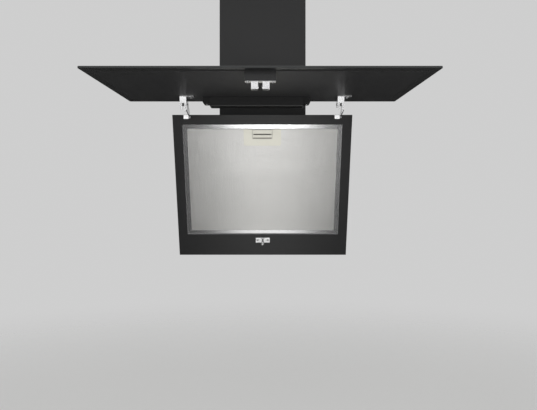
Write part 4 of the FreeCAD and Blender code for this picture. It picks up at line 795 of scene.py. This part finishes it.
def coil(mesh, stand, start, end):
    """A wire that climbs round the local x axis from start to end."""
    rings = []
    count = COIL_TURNS * COIL_STEPS
    for index in range(count + 1):
        share = index / count
        turn = math.tau * COIL_TURNS * share
        out = Vector((0, math.cos(turn), math.sin(turn)))
        middle = out * COIL_RADIUS + Vector((start + (end - start) * share, 0, 0))
        ring = []
        for side in range(WIRE_SIDES):
            angle = math.tau * side / WIRE_SIDES
            offset = out * math.cos(angle) + Vector((math.sin(angle), 0, 0))
            ring.append(mesh.verts.new(stand @ (middle + offset * WIRE_RADIUS)))
        rings.append(ring)
    fill_stack(mesh, rings)


for name, side in SIDES.items():
    stand = panel_board @ Matrix.Translation((side * HINGE_X, *RIVET))
    mesh = bmesh.new()
    coil(mesh, stand, ARM_FAR + ARM_SHEET + WIRE_RADIUS, ARM_NEAR - WIRE_RADIUS)
    new_piece(f"hinge_spring_{name}", mesh, "front_panel", "bright_steel")
    mesh = bmesh.new()
    ends = ((ARM_NEAR + ARM_SHEET + RIVET_HEAD, math.pi / 2), (ARM_FAR - RIVET_HEAD, -math.pi / 2))
    for level, turn in ends:
        end = stand @ Matrix.Translation((level, 0, 0)) @ Matrix.Rotation(turn, 4, "Y")
        fill_stack(mesh, turned_rings(mesh, end, RIVET_DOME))
    new_piece(f"hinge_rivet_heads_{name}", mesh, "front_panel", "bright_steel")

# %% [markdown]
# Below the web of each arm, two pressed legs run down between its cheeks and end a little past them.
# A box would do at this size, but a pressed leg ends round and has a broken edge that catches the light,
# so its outline is drawn three times, at three depths, and joined.

# %% Pressed legs of the hinge arms
ARM_SLANT = math.radians(10)
ARM_FRONT = (-87, FOOT_FLOOR)
LEG_TOP = 20.32
LEG_HALF = 2
LEG_END_STEPS = 10
LEG_RINGS = [(0.35, 0.0), (0.0, -0.35), (0.0, -1.8)]
LEGS = [(5.4, 48), (-5.4, 42)]


def leg_outline(middle, low, inset):
    """A flat strip that ends round below."""
    half = LEG_HALF - inset
    turns = [math.pi + math.pi * index / LEG_END_STEPS for index in range(LEG_END_STEPS + 1)]
    end = [(middle + half * math.cos(turn), half * math.sin(turn) + LEG_HALF - low) for turn in turns]
    return [(middle + half, -LEG_TOP), (middle - half, -LEG_TOP)] + end


for name, side in SIDES.items():
    stand = panel_board @ Matrix.Translation((side * HINGE_X, *ARM_FRONT))
    stand = stand @ Matrix.Rotation(math.pi / 2 + ARM_SLANT, 4, "X")
    mesh = bmesh.new()
    for middle, low in LEGS:
        fill_stack(mesh, [draw_ring(mesh, stand, leg_outline(middle, low, inset), depth)
                          for inset, depth in LEG_RINGS])
    new_piece(f"hinge_legs_{name}", mesh, "front_panel", "bright_steel")

# %% [markdown]
# A thin strip of grey nylon lies in the gap below the latch, for it to slide on, and darkens that gap as a painted
# shade line.
# A stretched box would do, but a strip that is let in has round ends and a broken edge,
# so its outline is drawn three times, the last a little smaller, and joined.

# %% Strip under the latch, a painted shade line
STRIP_LEVEL = -78.15
STRIP_HALF = (29.5, 0.4)
STRIP_ROUND = 2.05
STRIP_RINGS = [(0.0, 0.0), (0.0, 0.12), (0.3, 0.2)]


def rounded(half_x, half_y, radius, points=8):
    """A flat outline with round corners, whose middles lie half_x and half_y away."""
    corners = []
    for quarter, (across, upward) in enumerate(((1, 1), (-1, 1), (-1, -1), (1, -1))):
        turns = [(quarter + index / points) * math.pi / 2 for index in range(points + 1)]
        corners += [(across * half_x + radius * math.cos(turn), upward * half_y + radius * math.sin(turn))
                    for turn in turns]
    return corners


stand = face_board @ Matrix.Translation((0, STRIP_LEVEL, 0))
mesh = bmesh.new()
fill_stack(mesh, [draw_ring(mesh, stand, rounded(*STRIP_HALF, STRIP_ROUND - inset), height)
                  for inset, height in STRIP_RINGS])
# The strip's darker grey stands in for the shade in the gap below the latch.
gap_shade_nylon = grained_plastic("grey_nylon_gap_shade", (0.32, 0.305, 0.27), roughness=0.5, gloss=0.4)
new_piece("latch_gap_shade_strip", mesh, "hood", "grey_plastic", gap_shade_nylon)

# %% [markdown]
# A bright face plate is pressed over the front of each hinge block and hides its rounded edges.
# It could be a flat sheet, but its broken edge catches the light, so it is drawn like the glide strip,
# on a board of its own, because the block's front is steeper than the face.

# %% Face plates of the hinge blocks
BLOCK_FRONT = (BLOCK_MIDDLE, -AXIS_DROP, 14.07)
BLOCK_SLOPE = math.radians(9.4)
PLATE_HALF = (8.5, 6.6)
PLATE_CORNER = 1.0
PLATE_LIFT = 1.0
PLATE_RINGS = [(0.0, 0.05), (0.0, 0.6), (0.35, 0.9)]


def corner_middles(halves, corner):
    """How far the middles of an outline's round corners lie from its own middle."""
    return [half - corner for half in halves]


for name, side in SIDES.items():
    stand = face_board @ Matrix.Translation((side * HINGE_X, 0, 0)) @ Matrix.Translation(BLOCK_FRONT)
    stand = stand @ Matrix.Rotation(-BLOCK_SLOPE, 4, "X") @ Matrix.Translation((0, PLATE_LIFT, 0))
    middles = corner_middles(PLATE_HALF, PLATE_CORNER)
    mesh = bmesh.new()
    fill_stack(mesh, [draw_ring(mesh, stand, rounded(*middles, PLATE_CORNER - inset), height)
                      for inset, height in PLATE_RINGS])
    new_piece(f"hinge_face_plate_{name}", mesh, "hood", "bright_steel")

# %% [markdown]
# The tray is bonded to the glass, and a bead of black sealant is drawn in the corner round it, standing
# in for the shade there: seen from the front it is a thin dark line along the tray, a painted shadow. A
# curve with a bevel could follow the outline. Here the outline itself is drawn at five steps of the bead's
# section and joined all round, which keeps the corners round.

# %% Bead round the tray, a painted shadow line
TRAY_HALF = (422, 237)
TRAY_MIDDLE = -219.6
TRAY_CORNER = 1
GLASS_LEVEL = 58.1
BEAD_SECTION = [(0.0, 0.0), (2.6, 0.0), (2.4, -0.7), (1.5, -1.8), (0.0, -2.3)]

stand = panel_board @ Matrix.Translation((0, TRAY_MIDDLE, GLASS_LEVEL))
middles = corner_middles(TRAY_HALF, TRAY_CORNER)
mesh = bmesh.new()
rings = [draw_ring(mesh, stand, rounded(*middles, TRAY_CORNER + out), height)
         for out, height in BEAD_SECTION]
bridge(mesh, rings + rings[:1])
# This dark bead is a painted shadow along the edge of the tray.
new_piece("tray_shadow_bead", mesh, "front_panel", "rubber")

# %% [markdown]
# Each lamp in the underside has a lens with rings pressed into it, which spread the light of the module
# behind. The rings could be left to a bump, but the edge of the lens would then stay straight. They are
# crests and troughs of a turned profile, so they are really there.

# %% Ringed lamp lenses
LAMP_X, LAMP_Y = 190, -92
LENS_LOW, LENS_HIGH = -241, -238.5
LENS_RADIUS = 27.9
LENS_EDGE = 0.3
LENS_SIDES = 56
RING_START, RING_PITCH, RING_DEPTH, RING_COUNT = 1.2, 2.4, 0.6, 10
RING_SLOPE = 0.7

lens_profile = [(RING_START / 2, LENS_LOW + RING_DEPTH)]
for index in range(RING_COUNT):
    crest = RING_START + index * RING_PITCH
    lens_profile += [(crest, LENS_LOW), (crest + RING_PITCH * RING_SLOPE, LENS_LOW + RING_DEPTH)]
lens_profile += [(crest + RING_PITCH, LENS_LOW), (LENS_RADIUS - LENS_EDGE, LENS_LOW),
                 (LENS_RADIUS, LENS_LOW + LENS_EDGE), (LENS_RADIUS, LENS_HIGH - LENS_EDGE),
                 (LENS_RADIUS - LENS_EDGE, LENS_HIGH), (RING_START / 2, LENS_HIGH)]
for name, side in SIDES.items():
    mesh = bmesh.new()
    stand = Matrix.Scale(MM, 4) @ Matrix.Translation((side * LAMP_X, LAMP_Y, 0))
    fill_stack(mesh, turned_rings(mesh, stand, lens_profile, LENS_SIDES))
    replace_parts(new_piece(f"ringed_lamp_lens_{name}", mesh, "hood", "lens"), f"lamp_lens_{name}")

# %% [markdown]
# The studio is an even pale room with a pale floor, at the height of a kitchen floor below the hood. The
# floor could end at a backdrop, but the edge between them would show. So it thins out to nothing far
# away, and from below it isn't there at all and hides nothing.

# %% Pale floor
FLOOR_LEVEL = -1.55
FLOOR_REACH = 9
FLOOR_FADE = (2.5, 7.0)
FLOOR_DARK, FLOOR_LIGHT = (0.78, 0.78, 0.77), (0.80, 0.80, 0.79)


def flat_sheet(name, corners, finish):
    data = bpy.data.meshes.new(name)
    data.from_pydata(corners, [], [tuple(range(len(corners)))])
    data.materials.append(finish)
    sheet = bpy.data.objects.new(name, data)
    bpy.context.scene.collection.objects.link(sheet)
    sheet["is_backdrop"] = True
    return sheet


def level_corners(left, right, near, far, z):
    return [(left, near, z), (right, near, z), (right, far, z), (left, far, z)]


def floor_finish():
    material, shader, place = new_finish("pale_floor", Roughness=0.8)
    join(blend_colours(noise(place, scale=0.8, detail=2), FLOOR_DARK, FLOOR_LIGHT), shader["Base Color"])
    far = step(vectors("LENGTH", place, out="Value"), *FLOOR_FADE)
    tree = material.node_tree
    surface = Line(tree, tree.nodes["Principled BSDF"].outputs[0])
    below = surface.node("ShaderNodeNewGeometry", out="Backfacing")
    nothing = surface.node("ShaderNodeBsdfTransparent")
    mixed = surface.node("ShaderNodeMixShader", sockets={0: larger(far, below), 1: surface, 2: nothing})
    join(mixed, tree.nodes["Material Output"].inputs["Surface"])
    return material


floor_corners = level_corners(-FLOOR_REACH, FLOOR_REACH, -FLOOR_REACH, FLOOR_REACH, FLOOR_LEVEL)
flat_sheet("pale_floor", floor_corners, floor_finish())
print(f"floor {-FLOOR_LEVEL} m below the middle of the hood")

# %% [markdown]
# In a room that is pale all round, steel turns flat and white. The steel itself could be made darker, but
# then it would be wrong in any other light. A photographer lays dark cards beside the object, out of the
# picture, and leaves a lit lane between them: the steel then shades from bright in the middle to dark at
# its sides. The cards here do the same, and show in reflections only. More of them stand behind the hood,
# where the underside of the open glass mirrors them and stays dark. In the middle only a strip of these
# is left, so that the zinc back still mirrors the pale room.

# %% Dark cards
LANE = 0.3
CARD_REACH = 3.2
CARD_LIFT = 0.02
CARD_START, CARD_END, CARD_TOP = 0.5, -3.9, -0.5
REAR_CARD = 0.3
REAR_LOW, REAR_STRIP, REAR_HIGH = -0.4, 0.17, 0.28
CARD_DARK, CARD_LIGHT = (0.02, 0.02, 0.02), (0.03, 0.03, 0.03)


def upright_corners(left, right, y, low, high):
    return [(left, y, low), (right, y, low), (right, y, high), (left, y, high)]


def card_finish():
    material, shader, place = new_finish("dark_card", Roughness=1.0, Specular_IOR_Level=0.0)
    join(blend_colours(noise(place, scale=4, detail=2), CARD_DARK, CARD_LIGHT), shader["Base Color"])
    return material


dark_card = card_finish()
card_level = FLOOR_LEVEL + CARD_LIFT
cards = []
for name, left, right in (("left", -CARD_REACH, -LANE), ("right", LANE, CARD_REACH)):
    low = level_corners(left, right, CARD_START, CARD_END, card_level)
    upright = upright_corners(left, right, CARD_END, card_level, CARD_TOP)
    rear = upright_corners(left, right, REAR_CARD, REAR_LOW, REAR_HIGH)
    for form, corners in (("low", low), ("upright", upright), ("rear", rear)):
        cards.append(flat_sheet(f"{form}_card_{name}", corners, dark_card))
strip = upright_corners(-LANE, LANE, REAR_CARD, REAR_STRIP, REAR_HIGH)
cards.append(flat_sheet("rear_card_strip", strip, dark_card))
for card in cards:
    card.visible_camera = card.visible_diffuse = card.visible_shadow = card.visible_transmission = False
print(f"{len(cards)} cards, with a lane {2 * LANE:.1f} m wide between them")

# %% [markdown]
# The lamps are soft boxes, because a bare point of light would draw a hard spot on every glossy piece.
# Two stand at the sides and light the whole hood, and are kept out of reflections, so that they leave no
# white patches on glossy pieces. Two in front give the hinges their bright faces, one above puts a sheen
# on the chimney, and two lie in the lane and shine upwards, where filter and rim reflect them.

# %% Lamps and room
MIDDLE = (0, -0.3, 0.05)
LANE_LAMP_X = 0.035
LANE_LAMP_LIFT = 0.05
ROOM_GREY = (0.62, 0.62, 0.62)


def soft_box(name, place, aim, width, height, power):
    data = bpy.data.lights.new(name, "AREA")
    data.shape = "RECTANGLE"
    data.size, data.size_y = width, height
    data.energy = power
    lamp = bpy.data.objects.new(name, data)
    lamp.location = place
    lamp.rotation_euler = (Vector(aim) - Vector(place)).to_track_quat("-Z", "Y").to_euler()
    lamp.visible_camera = False
    bpy.context.scene.collection.objects.link(lamp)
    return lamp


def lane_lamp(name, y, width, height, power):
    """A soft box that lies in the lane and shines straight up."""
    place = (LANE_LAMP_X, y, FLOOR_LEVEL + LANE_LAMP_LIFT)
    return soft_box(name, place, (LANE_LAMP_X, y, 1), width, height, power)


side_lamps = [
    soft_box("right_lamp", (2.3, -2.4, 0.1), MIDDLE, width=1.0, height=1.4, power=26),
    soft_box("left_lamp", (-2.3, -2.4, 0.1), MIDDLE, width=1.0, height=1.4, power=18),
]
for lamp in side_lamps:
    lamp.visible_glossy = False
seen_lamps = [
    soft_box("hinge_lamp_right", (0.68, -3.3, -0.2), MIDDLE, width=0.6, height=0.7, power=1.9),
    soft_box("hinge_lamp_left", (-0.68, -3.3, -0.2), MIDDLE, width=0.6, height=0.7, power=1.9),
    soft_box("chimney_lamp", (0, -3.3, 1.25), MIDDLE, width=0.9, height=0.6, power=5.6),
    lane_lamp("lane_lamp_near", -2.2, width=0.5, height=1.1, power=1.1),
    lane_lamp("lane_lamp_far", -3.35, width=0.6, height=1.0, power=7.0),
]
world = bpy.data.worlds.new("pale_room")
bpy.context.scene.world = world
world.use_nodes = True
sky = world.node_tree.nodes["Background"]
join(ROOM_GREY, sky.inputs["Color"])
join(1.0, sky.inputs["Strength"])
print("lamps:", len(side_lamps), "kept out of reflections,", len(seen_lamps), "seen in them")

# %% [markdown]
# The dressed hood must not outgrow its solids. The two could be compared by eye, but a sliver past the
# box wouldn't show, so the largest difference between the two boxes is printed, in millimetres.

# %% Sizes and end
dressed_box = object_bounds()
grown = [abs(a - b) / MM for one, two in zip(solids_box, dressed_box) for a, b in zip(one, two)]
print(f"grown by {max(grown):.2f} mm")
